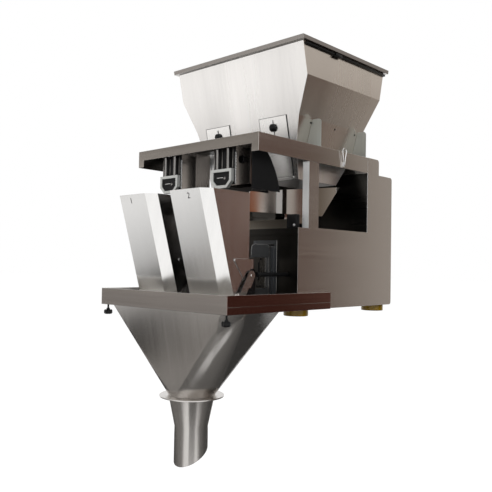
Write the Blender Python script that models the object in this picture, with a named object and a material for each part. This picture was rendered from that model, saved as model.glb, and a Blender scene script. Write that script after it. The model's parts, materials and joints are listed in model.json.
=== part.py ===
"""Two-head linear weigher: body, feeders, storage hopper, weigh buckets and collecting funnel.

Frame: metres, +Z up, front of the machine towards -Y. The origin is the middle of the four
feet, in the plane that they stand on. The collecting funnel hangs below that plane, in front
of the platform that the machine stands on.
"""
import math

import bmesh
import bpy
from mathutils import Matrix, Vector

# ---- sheet and clearances ----
SHEET = 0.002            # folded stainless sheet
TOUCH_GAP = 0.0003       # between pieces that rest on each other
RUN_GAP = 0.0006         # between a sliding rod and its hole
SHAKE_GAP = 0.0012       # between a leaf spring and the pan that shakes
PLATE_GAP = 0.0011       # between lever, ears and brackets beside each other

# ---- body ----
BODY_HALF_WIDTH = 0.270
BODY_FRONT = -0.2695
BODY_BACK = 0.2596
FOOT_HEIGHT = 0.0213
FOOT_RADIUS = 0.038
FOOT_X = 0.2214
FOOT_Y = 0.2155
STEP_TOP = 0.2668        # top of the lower body, where the deck lies
POST_FRONT = -0.2203
POST_FLANGE = 0.0247
WINDOW_FRONT = -0.1713
WINDOW_BACK = 0.1032
WINDOW_BOTTOM = 0.2692
PANEL_FRONT = -0.2450    # recessed front panel
PLATE_CORNER = 0.010
COLUMN_BACK = 0.1732
DECK_LIP = 0.020
DECK_FRONT = -0.2480

# ---- top frame ----
COVER_BOTTOM = 0.4704
COVER_TOP = 0.5239
COVER_FRONT = -0.4507
COVER_SEAM = -0.0535
COVER_LIP = 0.015
BAND_HEIGHT = 0.031
LEG_WIDTH = 0.027

# ---- storage hopper ----
HOPPER_TOP = 0.838
HOPPER_BEND = 0.7279     # below it the sides lean in
HOPPER_CREASE = 0.617    # second bend of the sides
HOPPER_TUCK = 0.545      # below it the back wall leans forward
HOPPER_BOTTOM = 0.425
HOPPER_HALF = 0.2808
HOPPER_CREASE_HALF = 0.230
HOPPER_NECK_HALF = 0.2047
HOPPER_OUTLET_HALF = 0.198
HOPPER_NECK_FRONT = -0.20441    # at the level of the top frame
HOPPER_NECK_BACK = 0.10941
HOPPER_SLOPE = 0.2257    # how far front and back lean in, per metre of height
HOPPER_OUTLET_BACK = 0.020
RIM_WIDTH = 0.0123
RIM_HEIGHT = 0.0129
DIVIDER_TOP = 0.500
GUSSET_TOP = 0.614
GUSSET_OUTER = BODY_HALF_WIDTH - 0.006
GUSSET_CORNER = 0.012
GUSSET_FRONT_Y = -0.155
GUSSET_BACK_Y = 0.0985

# ---- hopper gates ----
GATE_X = 0.1245
GATE_HALF_WIDTH = 0.056
GATE_KNOB_Z = 0.5915
GATE_TOP = 0.0325        # above the knob, along the slope
GATE_LENGTH = 0.1975
GATE_SLOT_HALF = 0.0032
GATE_SLOT_TOP = 0.0235
GATE_SLOT_BOTTOM = -0.036
KNOB_RADIUS = 0.0125
KNOB_DEPTH = 0.011
STUD_RADIUS = 0.0025

# ---- heads: everything that each of the two lanes repeats ----
HEAD_X = 0.119
PAN_HALF_WIDTH = 0.086
PAN_FRONT = -0.4131
PAN_HEEL = -0.0643
PAN_BACK = 0.0329
PAN_FLOOR_FRONT = 0.3056
PAN_FLOOR_HEEL = 0.3154
PAN_RIM_FRONT = 0.365
PAN_RIM_BACK = 0.421
PAN_FOOT_BOTTOM = 0.292
SPRING_LEAN = math.radians(20.0)
SPRING_THICKNESS = 0.0015
SPRING_HALF_WIDTH = 0.020
SPRING_BOTTOM = 0.150
SPRING_TOP = 0.301
DRIVE_FRONT = -0.235     # of the vibrator's casting, at its foot
DRIVE_BACK = -0.125
DRIVE_TOP = 0.190
DRIVE_HALF_WIDTH = 0.035
COIL_HALF = 0.018
COIL_TOP = 0.280
DECK_HOLE_HALF = 0.050
DECK_HOLE_FRONT = -0.215
DECK_HOLE_BACK = -0.060

# ---- feed gates ----
HOUSING_HALF = 0.052
HOUSING_FRONT = -0.3775
HOUSING_BACK = -0.315
HOUSING_BOTTOM = 0.393
SHELF_THICKNESS = 0.010
SHELF_FRONT = -0.4475
BEAM_BOTTOM = 0.508
BEAM_FRONT = -0.370
BEAM_BACK = -0.322
YOKE_Y = -0.440
YOKE_DEPTH = 0.012
YOKE_HALF = 0.0415
YOKE_BOTTOM = 0.376
YOKE_TOP = 0.432
YOKE_CHAMFER = 0.019
YOKE_WALL = 0.0085
ROD_RADIUS = 0.005
ROD_X = 0.022
ROD_TOP = 0.4993

# ---- weigh buckets ----
BUCKET_FACE_HALF = 0.0621
BUCKET_HALF = 0.0891
BUCKET_FRONT = -0.588    # at the mouth
BUCKET_BACK = -0.4153
BUCKET_TOP = 0.360
BUCKET_SLOPE = 0.286     # how far the front leans back, per metre of height
BUCKET_LOW_Z = 0.045     # front corner of the slanted bottom edge
BUCKET_HIGH_Z = 0.100    # back corner of it
NOTCH_BOTTOM = 0.300     # the back wall stops here, under the pan's mouth
BRACKET_FRONT = -0.4807
BRACKET_BACK = -0.3980
BRACKET_TOP = 0.1700
BRACKET_KNEE = (-0.4190, 0.0874)
BRACKET_TOE = 0.0710
DOOR_PIVOT = (-0.4115, 0.1228)       # (y, z), as for the other points of the linkage
LEVER_PIVOT = (-0.4087, 0.0805)
LINK_RADIUS = 0.0145
LINK_HEEL = (-0.4136, 0.0874)        # the arm's narrow waist behind
LINK_CROTCH = (-0.4229, 0.0856)
LINK_LOW_BACK = (-0.4440, 0.0500)
LINK_LOW_FRONT = (-0.4720, 0.0500)
TAB_BACK = -0.4550
LEVER_THICKNESS = 0.003
LEVER_BACK = -0.3870                 # rearmost corner of the lever's hook
LEVER_OUTLINE = [(-0.021, 0.0625), (-0.011, 0.0605), (0.0, 0.0475), (-0.0055, 0.0315),
                 (-0.0055, -0.0175), (-0.045, -0.0155), (-0.0327, 0.0065), (-0.015, 0.0195),
                 (-0.013, 0.0445), (-0.021, 0.0535)]     # (y, z) round the hook, from back and pivot
LEVER_CORNER = 0.002
PLUNGER_RADIUS = 0.006
PLUNGER_Z = 0.1255
PLUNGER_BACK = -0.200
PLUNGER_TIP_GAP = 0.001

# ---- head covers, hangers and load cells ----
COVER_PAD_HALF = 0.038
COVER_PAD_BOTTOM = 0.030
COVER_PAD_TOP = 0.219
COVER_PAD_CORNER = 0.012
COVER_BEZEL_HALF = 0.049
COVER_BEZEL_TOP = 0.231
COVER_BEZEL_BOTTOM = 0.0268
HANGER_HALF = 0.030
HANGER_BOTTOM = 0.083
HANGER_TOP = 0.1765
HANGER_NOSE_BOTTOM = 0.128           # the arms are cut away in front, above the door's swing
HANGER_NOSE_BACK = -0.335
HANGER_HEEL_FRONT = -0.322
CELL_HALF = 0.015
CELL_BOTTOM = 0.030
CELL_TOP = 0.165

# ---- collecting tray, funnel and spout ----
TRAY_HALF = BODY_HALF_WIDTH + 0.0131    # it wraps round both side plates
TRAY_FRONT = -0.5762
TRAY_BACK = -0.1206
TRAY_BOTTOM = 0.0208
TRAY_TOP = 0.0720
FUNNEL_HALF = 0.2419
FUNNEL_FRONT = -0.5589
FUNNEL_BACK = -0.3149
FUNNEL_NECK_Z = -0.2421
FUNNEL_NECK_RADIUS = 0.0702
FUNNEL_SHEET = 0.002
FLANGE_RADIUS = 0.0982
FLANGE_THICKNESS = 0.004
SPOUT_RADIUS = 0.0510
SPOUT_CONE_BOTTOM = -0.3348
SPOUT_LOW = -0.4505      # lowest and highest points of the slanted end, which is low in front
SPOUT_HIGH = -0.3915
ROUND_SIDES = 48
TRAY_KNOB_X = 0.267
TRAY_KNOB_Y = -0.561
TRAY_KNOB_Z = -0.0035
TRAY_KNOB_RADIUS = 0.014

# ---- latches and power gland ----
LATCH_Y = -0.0450
LATCH_FOOT_Z = 0.477
LATCH_TOP_Z = 0.532
WIRE_RADIUS = 0.0017
GLAND_RADIUS = 0.012
GLAND_LENGTH = 0.030

BODY_BOTTOM = FOOT_HEIGHT + TOUCH_GAP
INNER_HALF = BODY_HALF_WIDTH - SHEET - TOUCH_GAP
PLANE_TILT = math.atan(HOPPER_SLOPE)
SPOUT_Y = (FUNNEL_FRONT + FUNNEL_BACK) / 2

for old in list(bpy.data.objects):
    bpy.data.objects.remove(old, do_unlink=True)


# ---- materials ----
def material(name, colour, roughness, metallic):
    made = bpy.data.materials.new(name)
    made.use_nodes = True
    shader = made.node_tree.nodes["Principled BSDF"]
    shader.inputs["Base Color"].default_value = (*colour, 1.0)
    shader.inputs["Roughness"].default_value = roughness
    shader.inputs["Metallic"].default_value = metallic
    return made


def steel(name):
    return material(name, (0.55, 0.53, 0.51), 0.35, 1.0)


def black(name):
    return material(name, (0.012, 0.012, 0.013), 0.4, 0.0)


# ---- shapes ----
def finish(name, bm, look, origin=(0.0, 0.0, 0.0), smooth=False):
    """Turns a bmesh in world coordinates into an object whose origin is at the given point."""
    bmesh.ops.recalc_face_normals(bm, faces=bm.faces)
    bmesh.ops.translate(bm, verts=bm.verts, vec=-Vector(origin))
    mesh = bpy.data.meshes.new(name)
    bm.to_mesh(mesh)
    bm.free()
    if smooth:
        mesh.shade_smooth()
        mesh.set_sharp_from_angle(angle=math.radians(35.0))
    made = bpy.data.objects.new(name, mesh)
    made.location = origin
    bpy.context.collection.objects.link(made)
    if look is not None:
        mesh.materials.append(look)
    return made


def skin(rings, cap_first=True, cap_last=True, close=False):
    """A bmesh through rings of points, each ring with as many points as the last."""
    bm = bmesh.new()
    loops = [[bm.verts.new(point) for point in ring] for ring in rings]
    if close:
        loops.append(loops[0])
    for low, high in zip(loops, loops[1:]):
        for index, vert in enumerate(low):
            after = (index + 1) % len(low)
            bm.faces.new((vert, low[after], high[after], high[index]))
    if cap_first and not close:
        bm.faces.new(loops[0][::-1])
    if cap_last and not close:
        bm.faces.new(loops[-1])
    return bm


def along(axis, outline, place):
    """Lifts a plane outline into space: across X it holds (y, z), across Y (x, z), across Z (x, y)."""
    order = {"X": (place, None, None), "Y": (None, place, None), "Z": (None, None, place)}[axis]
    points = []
    for first, second in outline:
        rest = iter((first, second))
        points.append(tuple(next(rest) if value is None else value for value in order))
    return points


def prism(name, axis, outline, start, end, look, origin=(0.0, 0.0, 0.0), smooth=False):
    bm = skin([along(axis, outline, start), along(axis, outline, end)])
    return finish(name, bm, look, origin, smooth)


def block(name, low, high, look, origin=(0.0, 0.0, 0.0)):
    outline = [(low[0], low[1]), (high[0], low[1]), (high[0], high[1]), (low[0], high[1])]
    return prism(name, "Z", outline, low[2], high[2], look, origin)


def turned(name, axis, centre, profile, look, sides=ROUND_SIDES, origin=None):
    """A solid of revolution: the profile holds (distance along the axis, radius)."""
    rings = []
    for distance, radius in profile:
        ring = []
        for index in range(sides):
            angle = math.tau * index / sides
            ring.append((radius * math.cos(angle), radius * math.sin(angle), distance))
        rings.append(ring)
    bm = skin(rings)
    turn = {"X": Matrix.Rotation(math.pi / 2, 4, "Y"), "Y": Matrix.Rotation(math.pi / 2, 4, "X"),
            "Z": Matrix.Identity(4)}[axis]
    bmesh.ops.transform(bm, matrix=Matrix.Translation(centre) @ turn, verts=bm.verts)
    return finish(name, bm, look, origin or centre, smooth=True)


def rounded(outline, radii, steps=4):
    """An outline whose corners are arcs; a radius of nought keeps a corner sharp."""
    points = []
    count = len(outline)
    for index, corner in enumerate(outline):
        radius = radii[index]
        here = Vector(corner)
        if radius == 0:
            points.append(here)
            continue
        before = (Vector(outline[index - 1]) - here).normalized()
        after = (Vector(outline[(index + 1) % count]) - here).normalized()
        half = before.angle(after) / 2
        reach = radius / math.tan(half)
        middle = here + (before + after).normalized() * (radius / math.sin(half))
        start = here + before * reach - middle
        end = here + after * reach - middle
        for step in range(steps + 1):
            points.append(middle + start.slerp(end, step / steps) * radius)
    return [tuple(point) for point in points]


def change(target, tool, operation):
    tool.hide_render = True
    tool.display_type = "WIRE"
    cut = target.modifiers.new(tool.name, "BOOLEAN")
    cut.operation = operation
    cut.object = tool


def remove(target, tool):
    change(target, tool, "DIFFERENCE")


def add(target, tool):
    change(target, tool, "UNION")


def sided(name, side):
    return f"{name}_{'right' if side > 0 else 'left'}"


# ---- body: side plates, base, deck, panels and feet ----
def side_plate(side):
    outline = rounded(
        [(BODY_FRONT, BODY_BOTTOM), (BODY_BACK, BODY_BOTTOM), (BODY_BACK, COVER_BOTTOM),
         (COLUMN_BACK, COVER_BOTTOM), (COLUMN_BACK, COVER_TOP), (WINDOW_BACK, COVER_TOP),
         (WINDOW_BACK, WINDOW_BOTTOM), (WINDOW_FRONT, WINDOW_BOTTOM),
         (WINDOW_FRONT, COVER_BOTTOM - TOUCH_GAP), (POST_FRONT, COVER_BOTTOM - TOUCH_GAP),
         (POST_FRONT, STEP_TOP), (BODY_FRONT, STEP_TOP)],
        [0, PLATE_CORNER, PLATE_CORNER, 0, PLATE_CORNER, 0, 0, 0, 0, 0, 0, 0])
    outer = side * BODY_HALF_WIDTH
    inner = side * (BODY_HALF_WIDTH - SHEET)
    plate = prism(sided("side_plate", side), "X", outline, inner, outer, steel("side plate"))
    overlap = side * (BODY_HALF_WIDTH - SHEET / 2)
    edge = side * (BODY_HALF_WIDTH - POST_FLANGE)
    flange = block("post flange", (min(edge, overlap), POST_FRONT, STEP_TOP + TOUCH_GAP),
                   (max(edge, overlap), POST_FRONT + SHEET, COVER_BOTTOM - TOUCH_GAP), None)
    add(plate, flange)


def body_sheets():
    block("base_plate", (-INNER_HALF, BODY_FRONT, BODY_BOTTOM),
          (INNER_HALF, BODY_BACK - SHEET - TOUCH_GAP, BODY_BOTTOM + SHEET), steel("base"))
    lip = STEP_TOP - DECK_LIP
    outline = [(DECK_FRONT, lip), (DECK_FRONT + SHEET, lip), (DECK_FRONT + SHEET, STEP_TOP - SHEET),
               (BODY_BACK - SHEET - TOUCH_GAP, STEP_TOP - SHEET),
               (BODY_BACK - SHEET - TOUCH_GAP, STEP_TOP), (DECK_FRONT, STEP_TOP)]
    deck = prism("deck", "X", outline, -INNER_HALF, INNER_HALF, steel("deck"))
    for side in (-1, 1):
        middle = side * HEAD_X
        hole = block("deck hole", (middle - DECK_HOLE_HALF, DECK_HOLE_FRONT, lip),
                     (middle + DECK_HOLE_HALF, DECK_HOLE_BACK, STEP_TOP + SHEET), None)
        remove(deck, hole)
    panel = block("front_panel", (-INNER_HALF, PANEL_FRONT, BODY_BOTTOM + SHEET + TOUCH_GAP),
                  (INNER_HALF, PANEL_FRONT + SHEET, STEP_TOP - SHEET - TOUCH_GAP), steel("front panel"))
    for side in (-1, 1):
        hole = turned("plunger hole", "Y", (plunger_x(side), PANEL_FRONT, PLUNGER_Z),
                      [(-SHEET * 2, PLUNGER_RADIUS + RUN_GAP), (SHEET * 2, PLUNGER_RADIUS + RUN_GAP)],
                      None, sides=16)
        remove(panel, hole)
    step = WINDOW_BACK + TOUCH_GAP
    outer = rounded([(step, COVER_TOP), (COLUMN_BACK, COVER_TOP), (COLUMN_BACK, COVER_BOTTOM),
                     (BODY_BACK, COVER_BOTTOM), (BODY_BACK, BODY_BOTTOM),
                     (BODY_BACK - SHEET, BODY_BOTTOM), (BODY_BACK - SHEET, COVER_BOTTOM - SHEET),
                     (COLUMN_BACK - SHEET, COVER_BOTTOM - SHEET), (COLUMN_BACK - SHEET, COVER_TOP - SHEET),
                     (step, COVER_TOP - SHEET)],
                    [0, PLATE_CORNER, 0, PLATE_CORNER, 0, 0, PLATE_CORNER - SHEET, 0,
                     PLATE_CORNER - SHEET, 0])
    prism("rear_cover", "X", outer, -INNER_HALF, INNER_HALF, steel("rear cover"))
    block("partition", (-INNER_HALF, step, STEP_TOP + TOUCH_GAP),
          (INNER_HALF, step + SHEET, COVER_TOP - SHEET - TOUCH_GAP), steel("partition"))


def feet():
    for side in (-1, 1):
        for end, word in ((-1, "front"), (1, "rear")):
            chamfer = 0.0015
            turned(sided(f"foot_{word}", side), "Z", (side * FOOT_X, end * FOOT_Y, 0.0),
                   [(0.0, FOOT_RADIUS - chamfer), (chamfer, FOOT_RADIUS),
                    (FOOT_HEIGHT - chamfer, FOOT_RADIUS), (FOOT_HEIGHT, FOOT_RADIUS - chamfer)],
                   material("foot", (0.42, 0.29, 0.02), 0.35, 0.0), sides=32)


# ---- top frame: a front cover held by two latches, and the fixed frame behind it ----
def top_frame():
    beyond = 0.01
    parts = (("front_cover", COVER_FRONT, COVER_SEAM - TOUCH_GAP, 1),
             ("rear_frame", COVER_SEAM, WINDOW_BACK - TOUCH_GAP, -1))
    for name, front, back, open_end in parts:
        frame = block(name, (-BODY_HALF_WIDTH, front, COVER_BOTTOM), (BODY_HALF_WIDTH, back, COVER_TOP),
                      steel(name))
        room_front = front + SHEET if open_end > 0 else front - beyond
        room_back = back + beyond if open_end > 0 else back - SHEET
        lip_front = front + COVER_LIP if open_end > 0 else front - beyond
        lip_back = back + beyond if open_end > 0 else back - SHEET
        wall = BODY_HALF_WIDTH - SHEET
        remove(frame, block(f"{name} room", (-wall, room_front, COVER_BOTTOM - beyond),
                            (wall, room_back, COVER_TOP - SHEET), None))
        mouth = BODY_HALF_WIDTH - COVER_LIP
        remove(frame, block(f"{name} mouth", (-mouth, lip_front, COVER_TOP - 2 * SHEET),
                            (mouth, lip_back, COVER_TOP + beyond), None))
        if open_end > 0:
            leg = BODY_HALF_WIDTH - LEG_WIDTH
            remove(frame, block("band gap", (-leg, front - beyond, COVER_BOTTOM - beyond),
                                (leg, front + COVER_LIP / 2, COVER_TOP - BAND_HEIGHT), None))


# ---- storage hopper ----
def hopper_front(z):
    return HOPPER_NECK_FRONT - (z - COVER_TOP) * HOPPER_SLOPE


def hopper_back(z):
    if z >= HOPPER_TUCK:
        return HOPPER_NECK_BACK + (z - COVER_TOP) * HOPPER_SLOPE
    share = (z - HOPPER_BOTTOM) / (HOPPER_TUCK - HOPPER_BOTTOM)
    return HOPPER_OUTLET_BACK + share * (hopper_back(HOPPER_TUCK) - HOPPER_OUTLET_BACK)


def hopper_half(z):
    levels = [(HOPPER_BOTTOM, HOPPER_OUTLET_HALF), (COVER_TOP, HOPPER_NECK_HALF),
              (HOPPER_CREASE, HOPPER_CREASE_HALF), (HOPPER_BEND, HOPPER_HALF), (HOPPER_TOP, HOPPER_HALF)]
    for (low, low_half), (high, high_half) in zip(levels, levels[1:]):
        if z <= high:
            return low_half + (high_half - low_half) * (z - low) / (high - low)
    return HOPPER_HALF


def hopper_ring(z, grow):
    half = hopper_half(z) + grow
    front = hopper_front(z) - grow
    back = hopper_back(z) + grow
    return [(-half, front, z), (half, front, z), (half, back, z), (-half, back, z)]


def storage_hopper():
    bends = [HOPPER_BOTTOM, COVER_TOP, HOPPER_TUCK, HOPPER_CREASE, HOPPER_BEND]
    rim_low = HOPPER_TOP - RIM_HEIGHT
    rings = [hopper_ring(z, 0.0) for z in bends + [rim_low]]
    rings += [hopper_ring(rim_low, RIM_WIDTH), hopper_ring(HOPPER_TOP, RIM_WIDTH)]
    rings += [hopper_ring(z, -SHEET) for z in [HOPPER_TOP] + bends[::-1]]
    finish("storage_hopper", skin(rings, close=True), steel("hopper"))
    clear = SHEET + TOUCH_GAP
    low_half = HEAD_X - PAN_HALF_WIDTH + SHEET
    bm = bmesh.new()
    for x, z in ((-low_half, HOPPER_BOTTOM), (low_half, HOPPER_BOTTOM), (0.0, DIVIDER_TOP)):
        bm.verts.new((x, hopper_front(z) + clear, z))
        bm.verts.new((x, hopper_back(z) - clear, z))
    bmesh.ops.convex_hull(bm, input=bm.verts)
    finish("hopper_divider", bm, steel("divider"))


def gussets():
    bottom = COVER_TOP + TOUCH_GAP
    for side in (-1, 1):
        for word, y in (("front", GUSSET_FRONT_Y), ("rear", GUSSET_BACK_Y)):
            low = side * (hopper_half(bottom) + TOUCH_GAP)
            high = side * (hopper_half(GUSSET_TOP) + TOUCH_GAP)
            outer = side * GUSSET_OUTER
            outline = rounded([(low, bottom), (outer, bottom), (outer, GUSSET_TOP), (high, GUSSET_TOP)],
                              [0, 0, GUSSET_CORNER, 0])
            prism(sided(f"gusset_{word}", side), "Y", outline, y - SHEET / 2, y + SHEET / 2,
                  steel("gusset"))


def hopper_gates():
    """A plate slides on the hopper's front beside each outlet, clamped by a round knob in its slot."""
    for side in (-1, 1):
        place = Vector((side * GATE_X, hopper_front(GATE_KNOB_Z), GATE_KNOB_Z))
        back = -TOUCH_GAP
        front = back - SHEET
        plate = block(sided("gate_plate", side), (-GATE_HALF_WIDTH, front, GATE_TOP - GATE_LENGTH),
                      (GATE_HALF_WIDTH, back, GATE_TOP), steel("gate"))
        slot = block("gate slot", (-GATE_SLOT_HALF, front - SHEET, GATE_SLOT_BOTTOM),
                     (GATE_SLOT_HALF, back + SHEET, GATE_SLOT_TOP), None)
        collar = -front + TOUCH_GAP
        bead = KNOB_DEPTH / 5
        profile = [(TOUCH_GAP, STUD_RADIUS), (collar, STUD_RADIUS), (collar, KNOB_RADIUS - bead),
                   (collar + bead, KNOB_RADIUS), (collar + KNOB_DEPTH - bead * 2, KNOB_RADIUS),
                   (collar + KNOB_DEPTH - bead, KNOB_RADIUS - bead),
                   (collar + KNOB_DEPTH, KNOB_RADIUS - bead * 3)]
        knob = turned(sided("gate_knob", side), "Y", (0.0, 0.0, 0.0), profile, black("knob"), sides=20)
        for piece in (plate, slot, knob):
            piece.rotation_euler = (PLANE_TILT, 0.0, 0.0)
            piece.location = place
        remove(plate, slot)


# ---- feeders: pan, leaf springs and electromagnetic drive of each head ----
def pan_floor(y):
    return PAN_FLOOR_FRONT + (y - PAN_FRONT) * (PAN_FLOOR_HEEL - PAN_FLOOR_FRONT) / (PAN_HEEL - PAN_FRONT)


def leaned(y, z):
    """Follows the springs' lean from the casting's foot level at SPRING_BOTTOM up to z."""
    return y + (z - SPRING_BOTTOM) * math.tan(SPRING_LEAN)


def feeder(side):
    middle = side * HEAD_X
    outline = [(PAN_FRONT, PAN_FLOOR_FRONT), (PAN_HEEL, PAN_FLOOR_HEEL), (PAN_BACK, PAN_RIM_BACK),
               (PAN_FRONT, PAN_RIM_FRONT)]
    origin = (middle, (DRIVE_FRONT + DRIVE_BACK) / 2, PAN_FLOOR_FRONT)
    pan = prism(sided("feeder_pan", side), "X", outline, middle - PAN_HALF_WIDTH,
                middle + PAN_HALF_WIDTH, steel("pan"), origin)
    rear_run = Vector((PAN_BACK - PAN_HEEL, PAN_RIM_BACK - PAN_FLOOR_HEEL))
    shift = SHEET * rear_run.length / rear_run.y
    tall = 0.05
    stretch = tall * rear_run.x / rear_run.y
    room = [(PAN_FRONT - tall, pan_floor(PAN_FRONT - tall) + SHEET),
            (PAN_HEEL + SHEET * rear_run.x / rear_run.y - shift, pan_floor(PAN_HEEL) + SHEET),
            (PAN_BACK + stretch - shift, PAN_RIM_BACK + tall),
            (PAN_FRONT - tall, PAN_RIM_FRONT + tall)]
    inside = PAN_HALF_WIDTH - SHEET
    remove(pan, prism("pan room", "X", room, middle - inside, middle + inside, None))
    foot_front = DRIVE_FRONT + SHAKE_GAP
    foot_back = DRIVE_BACK - SHAKE_GAP
    foot = [(leaned(foot_front, PAN_FOOT_BOTTOM), PAN_FOOT_BOTTOM),
            (leaned(foot_back, PAN_FOOT_BOTTOM), PAN_FOOT_BOTTOM)]
    for y in (foot_back, foot_front):
        up = pan_floor(leaned(y, PAN_FLOOR_FRONT)) + SHEET / 2
        foot.append((leaned(y, up), up))
    add(pan, prism("pan foot", "X", foot, middle - SPRING_HALF_WIDTH, middle + SPRING_HALF_WIDTH, None))

    casting_low = BODY_BOTTOM + SHEET + TOUCH_GAP
    casting = [(DRIVE_FRONT, casting_low), (DRIVE_BACK, casting_low), (DRIVE_BACK, SPRING_BOTTOM),
               (leaned(DRIVE_BACK, DRIVE_TOP), DRIVE_TOP), (leaned(DRIVE_FRONT, DRIVE_TOP), DRIVE_TOP),
               (DRIVE_FRONT, SPRING_BOTTOM)]
    drive = prism(sided("vibrator_drive", side), "X", casting, middle - DRIVE_HALF_WIDTH,
                  middle + DRIVE_HALF_WIDTH, material("casting", (0.06, 0.06, 0.065), 0.5, 0.3))
    coil_y = leaned((DRIVE_FRONT + DRIVE_BACK) / 2, DRIVE_TOP)
    add(drive, block("coil", (middle - COIL_HALF, coil_y - COIL_HALF, DRIVE_TOP - SHEET),
                     (middle + COIL_HALF, coil_y + COIL_HALF, COIL_TOP), None))
    for word, y, way in (("front", DRIVE_FRONT, -1), ("rear", DRIVE_BACK, 1)):
        near = y + way * TOUCH_GAP / math.cos(SPRING_LEAN)
        far = near + way * SPRING_THICKNESS / math.cos(SPRING_LEAN)
        leaf = [(near, SPRING_BOTTOM), (far, SPRING_BOTTOM), (leaned(far, SPRING_TOP), SPRING_TOP),
                (leaned(near, SPRING_TOP), SPRING_TOP)]
        prism(sided(f"leaf_spring_{word}", side), "X", leaf, middle - SPRING_HALF_WIDTH,
              middle + SPRING_HALF_WIDTH, material("spring", (0.02, 0.02, 0.022), 0.4, 0.6))


# ---- feed gates: a yoke on two rods that closes each pan's mouth ----
def gate_drive(side):
    middle = side * HEAD_X
    top = BEAM_BOTTOM - TOUCH_GAP
    housing = block(sided("gate_housing", side), (middle - HOUSING_HALF, HOUSING_FRONT, HOUSING_BOTTOM),
                    (middle + HOUSING_HALF, HOUSING_BACK, top),
                    material("housing", (0.1, 0.095, 0.09), 0.4, 1.0))
    wall = HOUSING_HALF - SHEET
    remove(housing, block("housing room", (middle - wall, HOUSING_FRONT + SHEET, HOUSING_BOTTOM + SHEET),
                          (middle + wall, HOUSING_BACK - SHEET, top + SHEET), None))
    add(housing, block("housing shelf", (middle - HOUSING_HALF, SHELF_FRONT, top - SHELF_THICKNESS),
                       (middle + HOUSING_HALF, HOUSING_FRONT + SHEET / 2, top), None))
    outer = [(-YOKE_HALF, YOKE_TOP), (-YOKE_HALF, YOKE_BOTTOM + YOKE_CHAMFER),
             (-YOKE_HALF + YOKE_CHAMFER, YOKE_BOTTOM), (YOKE_HALF - YOKE_CHAMFER, YOKE_BOTTOM),
             (YOKE_HALF, YOKE_BOTTOM + YOKE_CHAMFER), (YOKE_HALF, YOKE_TOP)]
    wall_share = YOKE_WALL * (math.sqrt(2) - 1)
    inner = [(-YOKE_HALF + YOKE_WALL, YOKE_TOP - YOKE_WALL),
             (-YOKE_HALF + YOKE_WALL, YOKE_BOTTOM + YOKE_CHAMFER + wall_share),
             (-YOKE_HALF + YOKE_CHAMFER + wall_share, YOKE_BOTTOM + YOKE_WALL),
             (YOKE_HALF - YOKE_CHAMFER - wall_share, YOKE_BOTTOM + YOKE_WALL),
             (YOKE_HALF - YOKE_WALL, YOKE_BOTTOM + YOKE_CHAMFER + wall_share),
             (YOKE_HALF - YOKE_WALL, YOKE_TOP - YOKE_WALL)]
    rings = []
    for outline, y in ((outer, YOKE_Y - YOKE_DEPTH / 2), (outer, YOKE_Y + YOKE_DEPTH / 2),
                       (inner, YOKE_Y + YOKE_DEPTH / 2), (inner, YOKE_Y - YOKE_DEPTH / 2)):
        rings.append([(middle + x, y, z) for x, z in outline])
    yoke = finish(sided("feed_gate_yoke", side), skin(rings, close=True),
                  material("yoke", (0.75, 0.75, 0.74), 0.4, 1.0), (middle, YOKE_Y, YOKE_TOP))
    for way in (-1, 1):
        centre = (middle + way * ROD_X, YOKE_Y, YOKE_TOP)
        shank = [(-YOKE_WALL / 2, ROD_RADIUS), (ROD_TOP - YOKE_TOP, ROD_RADIUS)]
        add(yoke, turned("rod", "Z", centre, shank, None, sides=16))
        hole = ROD_RADIUS + RUN_GAP
        remove(housing, turned("rod hole", "Z", centre, [(0.0, hole), (top + SHEET - YOKE_TOP, hole)],
                               None, sides=16))


def gate_beam():
    low = BEAM_BOTTOM
    high = COVER_TOP - SHEET - TOUCH_GAP
    profile = [(BEAM_FRONT, high), (BEAM_FRONT, low), (BEAM_BACK, low), (BEAM_BACK, high),
               (BEAM_BACK - SHEET, high), (BEAM_BACK - SHEET, low + SHEET),
               (BEAM_FRONT + SHEET, low + SHEET), (BEAM_FRONT + SHEET, high)]
    prism("gate_beam", "X", profile, -INNER_HALF, INNER_HALF, steel("beam"))


# ---- weigh buckets with their bottom doors and levers ----
def bucket_point(x, mouth_y, leans):
    """Where an edge that starts at mouth_y meets the slanted bottom edge of the bucket."""
    low_y = BUCKET_FRONT + BUCKET_SLOPE * (BUCKET_TOP - BUCKET_LOW_Z)
    rise = (BUCKET_HIGH_Z - BUCKET_LOW_Z) / (BUCKET_BACK - low_y)
    lean = BUCKET_SLOPE if leans else 0.0
    z = (BUCKET_LOW_Z + rise * (mouth_y + lean * BUCKET_TOP - low_y)) / (1 + rise * lean)
    return (x, mouth_y + lean * (BUCKET_TOP - z), z)


def bucket_ring(middle, inset, top):
    bevel = BUCKET_HALF - BUCKET_FACE_HALF
    corner = inset * (math.sqrt(2) - 1)
    face = BUCKET_FACE_HALF - corner
    half = BUCKET_HALF - inset
    front = BUCKET_FRONT + inset
    edges = [(-face, front, True), (face, front, True), (half, front + bevel - inset + corner, True),
             (half, BUCKET_BACK - inset, False), (-half, BUCKET_BACK - inset, False),
             (-half, front + bevel - inset + corner, True)]
    if top:
        return [(middle + x, y, BUCKET_TOP) for x, y, _ in edges]
    return [bucket_point(middle + x, y, leans) for x, y, leans in edges]


def bucket_line(y):
    """Height of the bucket's bottom edge at a place along the machine."""
    low_y = BUCKET_FRONT + BUCKET_SLOPE * (BUCKET_TOP - BUCKET_LOW_Z)
    return BUCKET_LOW_Z + (y - low_y) * (BUCKET_HIGH_Z - BUCKET_LOW_Z) / (BUCKET_BACK - low_y)


def plunger_x(side):
    return side * (HEAD_X + BUCKET_HALF + SHEET + TOUCH_GAP + LEVER_THICKNESS / 2)


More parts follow.
